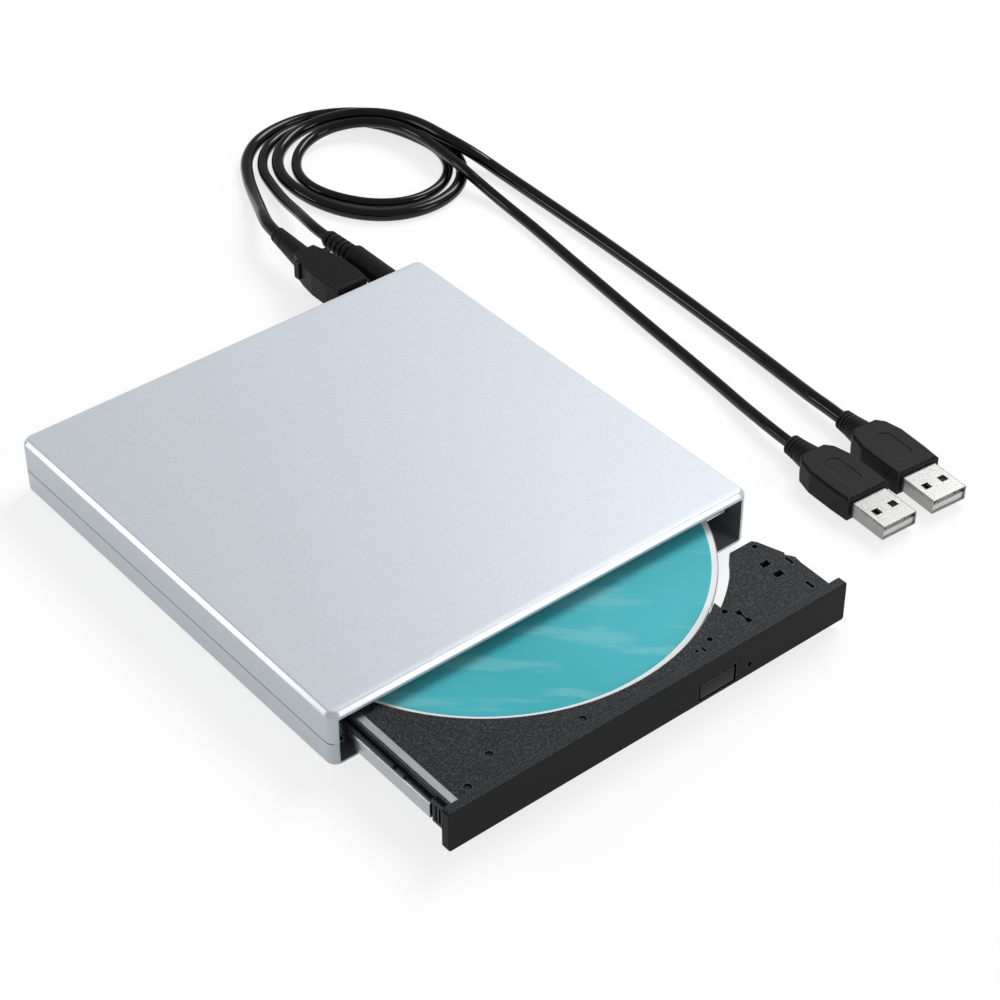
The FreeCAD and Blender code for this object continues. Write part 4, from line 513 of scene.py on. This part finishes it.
def rounded(name, chosen, width_mm=ROUND_MM):
    """A copy of a solid's mesh with the chosen sharp edges rounded."""
    work = bmesh.new()
    work.from_mesh(nodes[name].data)
    bmesh.ops.remove_doubles(work, verts=work.verts, dist=JOIN_MM * MM)
    bmesh.ops.dissolve_limit(work, angle_limit=math.radians(FLAT_DEGREES), verts=work.verts,
                             edges=work.edges)
    picked = [edge for edge in work.edges
              if edge.is_manifold and edge.calc_face_angle() > math.radians(EDGE_DEGREES)
              and chosen((edge.verts[0].co + edge.verts[1].co) / 2 / MM)]
    bmesh.ops.bevel(work, geom=picked, offset=width_mm * MM, offset_type="OFFSET",
                    segments=BEVEL_STEPS, profile=0.5, affect="EDGES")
    bmesh.ops.triangulate(work, faces=work.faces)
    mesh = bpy.data.meshes.new(name + "_finished")
    work.to_mesh(mesh)
    work.free()
    mesh.materials.append(nodes[name].data.materials[0])
    print(name, "has", len(picked), "rounded edges")
    return mesh


# %% [markdown]
# Which edges does the eye meet? Those of the outer skin, of the mouth and round the roof.
# The seam stays crisp, and so does the tongue behind it, because a rounded one would let
# light through. A face gets its finish in the same way, from where it lies and how it faces.

# %% Round the edges of the housing
WALL, ROOF, BASE, REAR_WALL = 2.45, 2.2, 1.3, 2.15
TONGUE = 1.6
BEVEL_DOWN = 1.4
BEVEL_FACES = (0.15, 0.97)
SEAM_GAP_MM = 0.28

cover_low, cover_high = [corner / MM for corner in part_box("top_cover")]
floor_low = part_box("bottom_cover")[0] / MM
SEAM = cover_low.z + TONGUE
half_inside = cover_high.x - WALL


def on_shell(middle):
    """True on the outer skin and at the mouth, but not along the seam, which stays crisp."""
    if abs(middle.z - SEAM) < 0.2:
        return False
    tongue = abs(middle.z - SEAM) < TONGUE + 0.1 and abs(middle.x) < half_inside + 0.3
    return (abs(middle.x) > half_inside - 0.1 and not tongue
            or middle.y > cover_high.y - REAR_WALL - 0.15
            or middle.y < cover_low.y + 0.1
            or middle.z > cover_high.z - BEVEL_DOWN - 0.1
            or middle.z < floor_low.z + 0.9)


def cover_finish(middle, facing):
    """Paint outside, bare plastic inside, and the bevel round the roof in a smoother paint with
    a painted highlight tone.
    """
    inside = (abs(middle.x) < half_inside + HAIR
              and cover_low.y + HAIR < middle.y < cover_high.y - REAR_WALL
              and floor_low.z + BASE - HAIR < middle.z < cover_high.z - ROOF + HAIR)
    seam_face = abs(middle.z - SEAM) < 0.1 and abs(facing.z) > 0.5
    bevel = (middle.z > cover_high.z - BEVEL_DOWN
             and BEVEL_FACES[0] < facing.z < BEVEL_FACES[1])
    return 1 if inside or seam_face else 2 * bevel


for half in ("top_cover", "bottom_cover"):
    mesh = rounded(half, on_shell)
    repaint(mesh, (silver, bare_plastic, highlit), cover_finish)
    if half == "bottom_cover":
        rim = max(vertex.co.z for vertex in mesh.vertices)
        for vertex in mesh.vertices:
            place = vertex.co / MM
            outer = abs(place.x) > half_inside + WALL / 2 or place.y > cover_high.y - 1.0
            if outer and vertex.co.z > rim - 0.3 * MM:
                vertex.co.z -= SEAM_GAP_MM * MM
    smooth(mesh)
    stand_in(half, mesh)

# %% [markdown]
# The steel case of the drive is blanked from sheet. Its cut front edges are bare, and their
# near-white tone is a painted highlight for the light they catch in the dark mouth of the
# housing. They are whole faces of the solid, so they only need a finish of their own.

# %% Cut edges of the case
case_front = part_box("drive_case")[0].y / MM
mesh = nodes["drive_case"].data.copy()
repaint(mesh, (rolled, cut_edge_highlight),
        lambda middle, facing: middle.y < case_front + HAIR and facing.y < -0.9)
print(sum(face.material_index for face in mesh.polygons), "faces on the cut edge")
stand_in("drive_case", mesh)

# %% [markdown]
# The left rail is folded from sheet, so its corners are round and the upper one shines. The
# slide bar on it is a moulded strip with a round back. Both are long and straight, so a
# rounding of half a millimetre is enough to show it.

# %% Rail and slide bar
FOLD_MM, BAR_ROUND_MM = 0.45, 0.5

rail_low, rail_high = [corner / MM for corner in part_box("left_rail")]
rail_middle = (rail_low.z + rail_high.z) / 2
mesh = rounded("left_rail", lambda middle: middle.x < rail_low.x + HAIR
               and abs(middle.z - rail_middle) > 2.0, FOLD_MM)
smooth(mesh)
stand_in("left_rail", mesh)
bar_low, bar_high = [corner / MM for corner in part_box("left_rail_slide")]
mesh = rounded("left_rail_slide", lambda middle: middle.z > bar_high.z - HAIR, BAR_ROUND_MM)
smooth(mesh)
stand_in("left_rail_slide", mesh)

# %% [markdown]
# The front is smooth, but its narrow top carries the grain of the tray. Its openings are a
# little wider at the face, as moulded openings are, so a dark line frames the button. The
# points round each opening are simply moved outwards, because its outline stays the same.

# %% Front and button
FRAME_MM = 0.45
NEAR_BUTTON = 0.3
BUTTON_ROUND_MM = 0.35
RELEASE_X, RELEASE_UP, RELEASE_REACH = 30.9, 2.15, 0.75
RELEASE_GROWS = 0.3

button_low, button_high = [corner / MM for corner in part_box("eject_button")]
button_middle = (button_low + button_high) / 2
mesh = nodes["front_bezel"].data.copy()
repaint(mesh, (satin, grained), lambda middle, facing: facing.z > 0.6)
release_z = button_low.z + RELEASE_UP
half_wide = (button_high.x - button_low.x) / 2
half_tall = (button_high.z - button_low.z) / 2
for vertex in mesh.vertices:
    place = vertex.co / MM
    across, up = place.x - button_middle.x, place.z - button_middle.z
    if abs(across) < half_wide + NEAR_BUTTON and abs(up) < half_tall + NEAR_BUTTON:
        vertex.co.x += math.copysign(FRAME_MM, across) * MM
        vertex.co.z += math.copysign(FRAME_MM, up) * MM
    pin = Vector((place.x - RELEASE_X, 0, place.z - release_z))
    if pin.length < RELEASE_REACH:
        vertex.co += pin * RELEASE_GROWS * MM
stand_in("front_bezel", mesh)
print("the button's frame is", FRAME_MM, "mm wider on each side")
mesh = rounded("eject_button", lambda middle: middle.y < button_low.y + HAIR, BUTTON_ROUND_MM)
repaint(mesh, (button_skin,), lambda middle, facing: 0)
smooth(mesh)
stand_in("eject_button", mesh)


# %% [markdown]
# ## The disc
# A disc is clear plastic with a printed face above and a mirror layer below. Turned on a
# lathe, its outline is a thin strip with soft corners and a small ring on the underside
# that keeps stacked discs apart. Each stretch of the outline has its own material. The print
# stops short of the rim, where its white undercoat shows.

# %% Disc materials
STREAK_STRETCH = (4.5, 1, 1)
STREAK_TURN = math.radians(-39)
STREAK_MM, CLOUD_MM = 6, 60
RAINBOWS_PER_RADIAN = 0.64

disc_low, disc_high = [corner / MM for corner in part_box("disc")]
DISC_X = (disc_low.x + disc_high.x) / 2
DISC_Y = (disc_low.y + disc_high.y) / 2

printed, tree, shader = material("printed disc face", 0.35, 0.1)
where = node(tree, "ShaderNodeTexCoord").outputs["Object"]
drawn_out = node(tree, "ShaderNodeMapping", {"Vector": where, "Scale": STREAK_STRETCH,
                                             "Rotation": (0, 0, STREAK_TURN)},
                 vector_type="TEXTURE").outputs["Vector"]
streaks = noise(tree, drawn_out, STREAK_MM, 7.0)
soft_tone = ramp(tree, noise(tree, object_place(tree), CLOUD_MM, 1.0),
                 (0.35, "#4ABAC4"), (0.65, "#56C4CF"))
tint(tree, shader, mix(tree, ramp(tree, streaks, (0.53, "#000000"), (0.62, "#7A7A7A")),
                       soft_tone, colour("#B4E4E8")))
undercoat = moulded("white undercoat", "#FAFCFD", 0.3, 0.6, 0.002, uneven=0.01)
# The mirror layer's rainbow colours are fixed round the disc, a painted sheen of the light that
# its tracks split into colours.
mirror_layer, tree, shader = material("mirror layer under clear plastic", 0.12, 0.5, 0.9)
parts = node(tree, "ShaderNodeSeparateXYZ", {
    "Vector": object_place(tree, shift=(-DISC_X * MM, -DISC_Y * MM, 0))}).outputs
turn = sums(tree, "ARCTAN2", parts["Y"], parts["X"])
painted_rainbow_sheen = sums(tree, "FRACT", sums(tree, "MULTIPLY", turn, RAINBOWS_PER_RADIAN))
tint(tree, shader, ramp(tree, painted_rainbow_sheen,
                        (0.0, "#B7A7C9"), (1.0, "#B7A7C9"), (0.3, "#9FB4D6"),
                        (0.5, "#A9CDB4"), (0.7, "#CDC9A0"), (0.85, "#D0AFA4")))
clear_rim, tree, shader = material("clear polycarbonate rim", 0.12)
shader.inputs["Base Color"].default_value = colour("#D6E2E8")
shader.inputs["Transmission Weight"].default_value = 0.35
print("four stretches:", printed.name + ",", undercoat.name + ",", mirror_layer.name, "and",
      clear_rim.name)


# %% [markdown]
# The outline is turned about the disc's own axis by a small function. A screw modifier could
# do it too, but then the material of each stretch would have to be picked out afterwards.

# %% Turn the disc
LATHE_STEPS = 180


def lathe(name, outline, centre):
    """Turn an outline of radius, height and material number about an upright axis."""
    mesh = bpy.data.meshes.new(name)
    points, faces, finishes = [], [], []
    count = len(outline)
    for step in range(LATHE_STEPS):
        turn = 2 * math.pi * step / LATHE_STEPS
        for radius, height, _ in outline:
            points.append(((centre[0] + radius * math.cos(turn)) * MM,
                           (centre[1] + radius * math.sin(turn)) * MM, height * MM))
    for step in range(LATHE_STEPS):
        here, there = step * count, (step + 1) % LATHE_STEPS * count
        for index, (_, _, finish) in enumerate(outline):
            after = (index + 1) % count
            faces.append((here + index, there + index, there + after, here + after))
            finishes.append(finish)
    mesh.from_pydata(points, [], faces)
    mesh.polygons.foreach_set("material_index", finishes)
    return mesh


HOLE, LABEL_IN, LABEL_OUT, RIM_OUT, OUT = 7.5, 11.5, 58.25, 59.7, 60.0
MIRROR_IN, MIRROR_OUT = 22.0, 58.6
RING, RING_DOWN = (16.8, 17.0, 17.4, 17.6), 0.12
SOFT = 0.15
RIM, FACE, WHITE, MIRROR = range(4)

low, high = disc_low.z, disc_high.z
disc_mesh = lathe("disc_finished", [
    (HOLE, high - SOFT, RIM), (HOLE, low + SOFT, RIM), (HOLE + SOFT, low, RIM),
    (RING[0], low, RIM), (RING[1], low - RING_DOWN, RIM), (RING[2], low - RING_DOWN, RIM),
    (RING[3], low, RIM), (MIRROR_IN, low, MIRROR), (MIRROR_OUT, low, RIM),
    (OUT - SOFT, low, RIM), (OUT, low + SOFT, RIM),
    (OUT, high - SOFT, RIM), (OUT - SOFT, high, RIM), (RIM_OUT, high, WHITE),
    (LABEL_OUT, high, FACE), (LABEL_IN, high, RIM), (HOLE + SOFT, high, RIM)],
    (DISC_X, DISC_Y))
for finish in (clear_rim, printed, undercoat, mirror_layer):
    disc_mesh.materials.append(finish)
smooth(disc_mesh)
stand_in("disc", disc_mesh)
print("the disc is", round(2 * OUT), "mm across at", round(DISC_X, 1), round(DISC_Y, 1))

# %% [markdown]
# ## Rows of small contacts
# Contacts and the legs of chips come in rows. A small Geometry Nodes group lays one block out
# again and again along a line: give it a count, a step and a block, and it makes the row.
# Each row is then turned into a plain mesh and moved to its seat.

# %% The row group
def row_group():
    """Geometry Nodes that repeat a block: inputs are its count, step, size and material."""
    group = bpy.data.node_groups.new("row of blocks", "GeometryNodeTree")
    sockets = {}
    for name, kind in (("Count", "NodeSocketInt"), ("Step", "NodeSocketVector"),
                       ("Size", "NodeSocketVector"), ("Finish", "NodeSocketMaterial")):
        item = group.interface.new_socket(name, in_out="INPUT", socket_type=kind)
        sockets[name] = item.identifier
    group.interface.new_socket("Row", in_out="OUTPUT", socket_type="NodeSocketGeometry")
    given = node(group, "NodeGroupInput").outputs
    line = node(group, "GeometryNodeMeshLine", {"Count": given["Count"],
                                                "Offset": given["Step"]})
    block = node(group, "GeometryNodeMeshCube", {"Size": given["Size"]})
    copies = node(group, "GeometryNodeInstanceOnPoints", {"Points": line.outputs[0],
                                                          "Instance": block.outputs[0]})
    solid = node(group, "GeometryNodeRealizeInstances", {"Geometry": copies.outputs[0]})
    dressed = node(group, "GeometryNodeSetMaterial", {"Geometry": solid.outputs[0],
                                                      "Material": given["Finish"]})
    node(group, "NodeGroupOutput", {"Row": dressed.outputs[0]})
    return group, sockets


row_tree, row_sockets = row_group()


def row(name, count, step, size, finish, start, turn=0.0):
    """A row of blocks in millimetres, as a plain mesh that starts at a point."""
    holder = bpy.data.objects.new(name, bpy.data.meshes.new(name + "_empty"))
    bpy.context.collection.objects.link(holder)
    modifier = holder.modifiers.new("row", "NODES")
    modifier.node_group = row_tree
    modifier[row_sockets["Count"]] = count
    modifier[row_sockets["Step"]] = [v * MM for v in step]
    modifier[row_sockets["Size"]] = [v * MM for v in size]
    modifier[row_sockets["Finish"]] = finish
    ready = holder.evaluated_get(bpy.context.evaluated_depsgraph_get())
    mesh = bpy.data.meshes.new_from_object(ready)
    holder.modifiers.clear()
    mesh.transform(Matrix.Translation(Vector(start) * MM) @ Matrix.Rotation(turn, 4, "Z"))
    holder.data = mesh
    mesh.materials.clear()
    mesh.materials.append(finish)
    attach(holder, "root")
    print(name, "has", count, "blocks")
    return holder


# %% [markdown]
# A computer plug has four gilt contacts on its white insert, the outer two longer than the
# inner two. The main chip has a row of tinned legs down each side. Both are rows, so both
# come from the group; each plug lies a little turned, and its contacts turn with it.
#
# Places on the table are given as millimetres to the right of the drive's middle and
# behind the housing's front.

# %% Contacts and legs
FRONT = -50.1
HOSTS = {"data": (119.5, -12.5, 4.6), "power": (101.2, -11.6, 3.2)}
CONTACT_UP = 3.82
OUTER_GAP, LONG_CONTACT, LONG_BACK = 7.0, (1.0, 8.6, 0.2), 6.9
INNER_GAP, SHORT_CONTACT, SHORT_BACK = 2.0, (1.0, 7.6, 0.2), 6.4

contacts = []
for wire, (x, y, angle) in HOSTS.items():
    turn = -math.radians(angle)

    def seat(across, along, up):
        """A point on a plug, turned as the plug lies."""
        return (x + across * math.cos(turn) - along * math.sin(turn),
                FRONT + y + across * math.sin(turn) + along * math.cos(turn), up)

    contacts += [
        row(wire + "_long_contacts", 2, (OUTER_GAP, 0, 0), LONG_CONTACT, gold,
            seat(-OUTER_GAP / 2, -LONG_BACK, CONTACT_UP), turn),
        row(wire + "_short_contacts", 2, (INNER_GAP, 0, 0), SHORT_CONTACT, gold,
            seat(-INNER_GAP / 2, -SHORT_BACK, CONTACT_UP), turn)]

CHIP_X, CHIP_Y, CHIP_HALF = 1.06, 57.5, 9.1
LEGS, LEG_STEP, LEG = 17, (0, 1.0, 0), (1.4, 0.4, 0.18)
LEG_OUT, LEG_UP = 0.6, 4.9
for side, side_name in ((-1, "left"), (1, "right")):
    row("chip_legs_" + side_name, LEGS, LEG_STEP, LEG, screw_zinc,
        (CHIP_X + side * (CHIP_HALF + LEG_OUT), CHIP_Y - (LEGS - 1) / 2, LEG_UP))

# %% [markdown]
# ## The two leads
# A lead is a length of something flexible. Its route is a list of points chosen on the
# photograph; a smooth spline through their neighbourhood is the lead's middle line, and a round
# bevel gives it its thickness. The thicker lead carries data, the thinner one power. Where one
# turn of a loop crosses another, the upper one rises by a lead's thickness. A simulation could
# lay them too, but not on the very line that the photograph shows.

# %% Routes of the leads
DATA_RADIUS = 2.0
POWER_RADIUS = 1.7
DATA_ROUTE = [
    (50.3, 187.3, 8.85), (50.9, 192.8, 8.85), (53.4, 199.2, 8.0), (57.4, 207.0, 5.7),
    (62.4, 217.3, 3.1), (67.4, 227.9, 2.0), (73.4, 237.9, 2.0), (82.6, 245.1, 2.0),
    (94.1, 247.7, 2.0), (105.8, 246.2, 2.0), (116.2, 240.6, 2.0), (124.4, 232.3, 2.0),
    (129.0, 221.6, 2.0), (129.7, 209.9, 2.0), (127.9, 198.3, 2.0), (122.8, 187.8, 2.0),
    (113.5, 180.6, 2.0), (102.0, 178.5, 2.0), (90.6, 181.7, 2.0), (81.9, 189.8, 2.0),
    (77.0, 200.4, 2.0), (75.3, 212.0, 2.0), (76.5, 223.8, 2.0), (82.5, 233.7, 2.3),
    (92.5, 239.4, 3.1), (104.0, 239.5, 4.1), (114.2, 234.3, 5.5), (121.4, 225.2, 6.5),
    (124.9, 214.3, 7.2), (126.0, 202.6, 7.2), (129.1, 191.7, 5.1), (131.9, 181.8, 2.0),
    (131.6, 163.9, 2.0), (131.0, 134.7, 2.0), (129.5, 99.6, 2.0), (127.0, 62.5, 2.0),
    (124.6, 42.6, 2.8), (122.8, 31.0, 3.7),
]
POWER_ROUTE = [
    (61.0, 176.7, 8.85), (61.0, 182.2, 8.85), (62.4, 188.9, 7.9), (64.9, 197.2, 5.8),
    (67.7, 208.2, 3.3), (70.8, 219.5, 2.0), (74.2, 230.5, 1.7), (81.8, 239.3, 1.9),
    (92.5, 243.7, 2.0), (104.1, 242.9, 1.7), (114.2, 237.1, 1.7), (120.7, 227.5, 1.7),
    (124.3, 216.4, 1.7), (125.7, 204.4, 1.7), (121.5, 193.3, 1.7), (112.3, 186.0, 1.7),
    (100.5, 184.9, 1.7), (89.9, 190.1, 2.1), (82.8, 200.0, 2.2), (79.6, 211.7, 2.0),
    (82.1, 223.3, 1.7), (90.2, 232.0, 2.6), (101.7, 234.4, 4.0), (112.6, 229.8, 5.2),
    (119.7, 220.3, 6.0), (121.8, 208.5, 6.0), (121.0, 197.0, 6.4), (120.0, 185.5, 6.1),
    (120.8, 174.5, 3.3), (121.0, 163.4, 1.7), (119.6, 148.2, 1.7), (116.3, 122.6, 1.7),
    (112.6, 91.7, 1.7), (109.0, 59.1, 1.7), (106.2, 43.0, 2.5), (104.2, 32.4, 3.6),
]
HOST_HEIGHT = 7.8
HOST_REACH = 31.0
LAST_RUN = 6.0


def host_exit(wire):
    """The last run of a lead, straight into the relief of its computer plug."""
    x, y, angle = HOSTS[wire]
    turn = math.radians(angle)
    return [(x + reach * math.sin(turn), y + reach * math.cos(turn), HOST_HEIGHT / 2)
            for reach in (HOST_REACH + LAST_RUN, HOST_REACH)]


print("points on the routes:", len(DATA_ROUTE), "and", len(POWER_ROUTE))


# %% [markdown]
# Each lead rides on the housing and stands in for its imported solid. Its length is measured on
# the drawn line, not typed.

# %% Draw the leads
ROUND_STEPS, ALONG_STEPS = 6, 14


def spline_length(curve_object):
    """Length of a curve's middle line, measured on a copy without its bevel."""
    bare = curve_object.data.copy()
    bare.bevel_depth = 0.0
    holder = bpy.data.objects.new("measure", bare)
    bpy.context.collection.objects.link(holder)
    depsgraph = bpy.context.evaluated_depsgraph_get()
    line = bpy.data.meshes.new_from_object(holder.evaluated_get(depsgraph))
    points = [v.co.copy() for v in line.vertices]
    bpy.data.objects.remove(holder)
    bpy.data.meshes.remove(line)
    return sum((b - a).length for a, b in zip(points, points[1:]))


def draw_lead(name, route, radius):
    """A lead as a smooth spline with a round section."""
    curve = bpy.data.curves.new(name, "CURVE")
    curve.dimensions = "3D"
    curve.resolution_u = ALONG_STEPS
    curve.bevel_depth = radius * MM
    curve.bevel_resolution = ROUND_STEPS
    curve.use_fill_caps = True
    line = curve.splines.new("NURBS")
    line.points.add(len(route) - 1)
    for point, (x, y, z) in zip(line.points, route):
        point.co = (x * MM, (FRONT + y) * MM, z * MM, 1.0)
    line.order_u = 3
    line.use_endpoint_u = True
    lead = bpy.data.objects.new(name, curve)
    bpy.context.collection.objects.link(lead)
    lead.data.materials.append(vinyl)
    print(name, "is", round(spline_length(lead), 3), "m long")
    return lead


for wire, route, radius in (("data", DATA_ROUTE, DATA_RADIUS),
                            ("power", POWER_ROUTE, POWER_RADIUS)):
    route = route + host_exit(wire)
    lead = draw_lead(wire + "_lead", route, radius)
    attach(lead, "root")
    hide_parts(wire + "_cable")
    pieces = [nodes[f"{wire}_usb_{piece}"] for piece in ("body", "shell", "insert")]
    pieces += [contact for contact in contacts if contact.name.startswith(wire)]
    round(spline_length(lead), 3)

# %% [markdown]
# ## Floor and light
# The photograph is a studio shot on white paper. A wide pale floor catches the soft shadow.
# Paper that is lit like everything else would come out grey, so what the camera sees of it
# is mixed with a plain glow. Shiny surfaces mirror that glow too, but it throws no light.

# %% Floor
FLOOR = 4.0
PAPER_GLOW, GLOW_SHARE = 1.24, 0.62

floor_mesh = bpy.data.meshes.new("floor")
floor_mesh.from_pydata([(-FLOOR, -FLOOR, 0), (FLOOR, -FLOOR, 0), (FLOOR, FLOOR, 0),
                        (-FLOOR, FLOOR, 0)], [], [(0, 1, 2, 3)])
floor = bpy.data.objects.new("floor", floor_mesh)
bpy.context.collection.objects.link(floor)
paper, tree, shader = material("white paper sweep", 0.9)
shader.inputs["Base Color"].default_value = colour("#D6D6D6")
glow = node(tree, "ShaderNodeEmission", {"Color": (1, 1, 1, 1), "Strength": PAPER_GLOW})
rays = node(tree, "ShaderNodeLightPath").outputs
seen = sums(tree, "MAXIMUM", sums(tree, "MAXIMUM", rays["Is Camera Ray"],
                                  rays["Is Glossy Ray"]), rays["Is Transmission Ray"])
blend = node(tree, "ShaderNodeMixShader", {0: sums(tree, "MULTIPLY", seen, GLOW_SHARE),
                                           1: shader.outputs[0], 2: glow.outputs[0]})
tree.links.new(blend.outputs[0], tree.nodes["Material Output"].inputs["Surface"])
floor_mesh.materials.append(paper)
print("the floor is", 2 * FLOOR, "m wide")

# %% [markdown]
# A white room lights everything evenly. The key lamp stands above and to the right, because
# the roof grows brighter that way. Two low lamps, in front and at the back left, only serve
# the bevels, which shine white all along the near edges: each stands where its bevel, taken
# as a mirror, sends the camera's line of sight.

# %% Lamps and world
ROOM_LIGHT = 0.38
LAMPS = {"key": ((1.05, 0.3, 1.22), 0.7, 14.5),
         "bevel front": ((0.63, -1.01, 0.62), 0.5, 3),
         "bevel left": ((-1.01, 0.91, 0.39), 0.45, 2.5)}

world = bpy.data.worlds.new("studio")
world.use_nodes = True
scene.world = world
background = world.node_tree.nodes["Background"]
background.inputs["Color"].default_value = (1, 1, 1, 1)
background.inputs["Strength"].default_value = ROOM_LIGHT
for name, (place, size, power) in LAMPS.items():
    data = bpy.data.lights.new(name, "AREA")
    data.size = size
    data.energy = power
    lamp = bpy.data.objects.new(name, data)
    lamp.location = place
    lamp.rotation_euler = (-Vector(place)).to_track_quat("-Z", "Y").to_euler()
    bpy.context.collection.objects.link(lamp)
    print(name, "lamp:", power, "W,", size, "m wide")
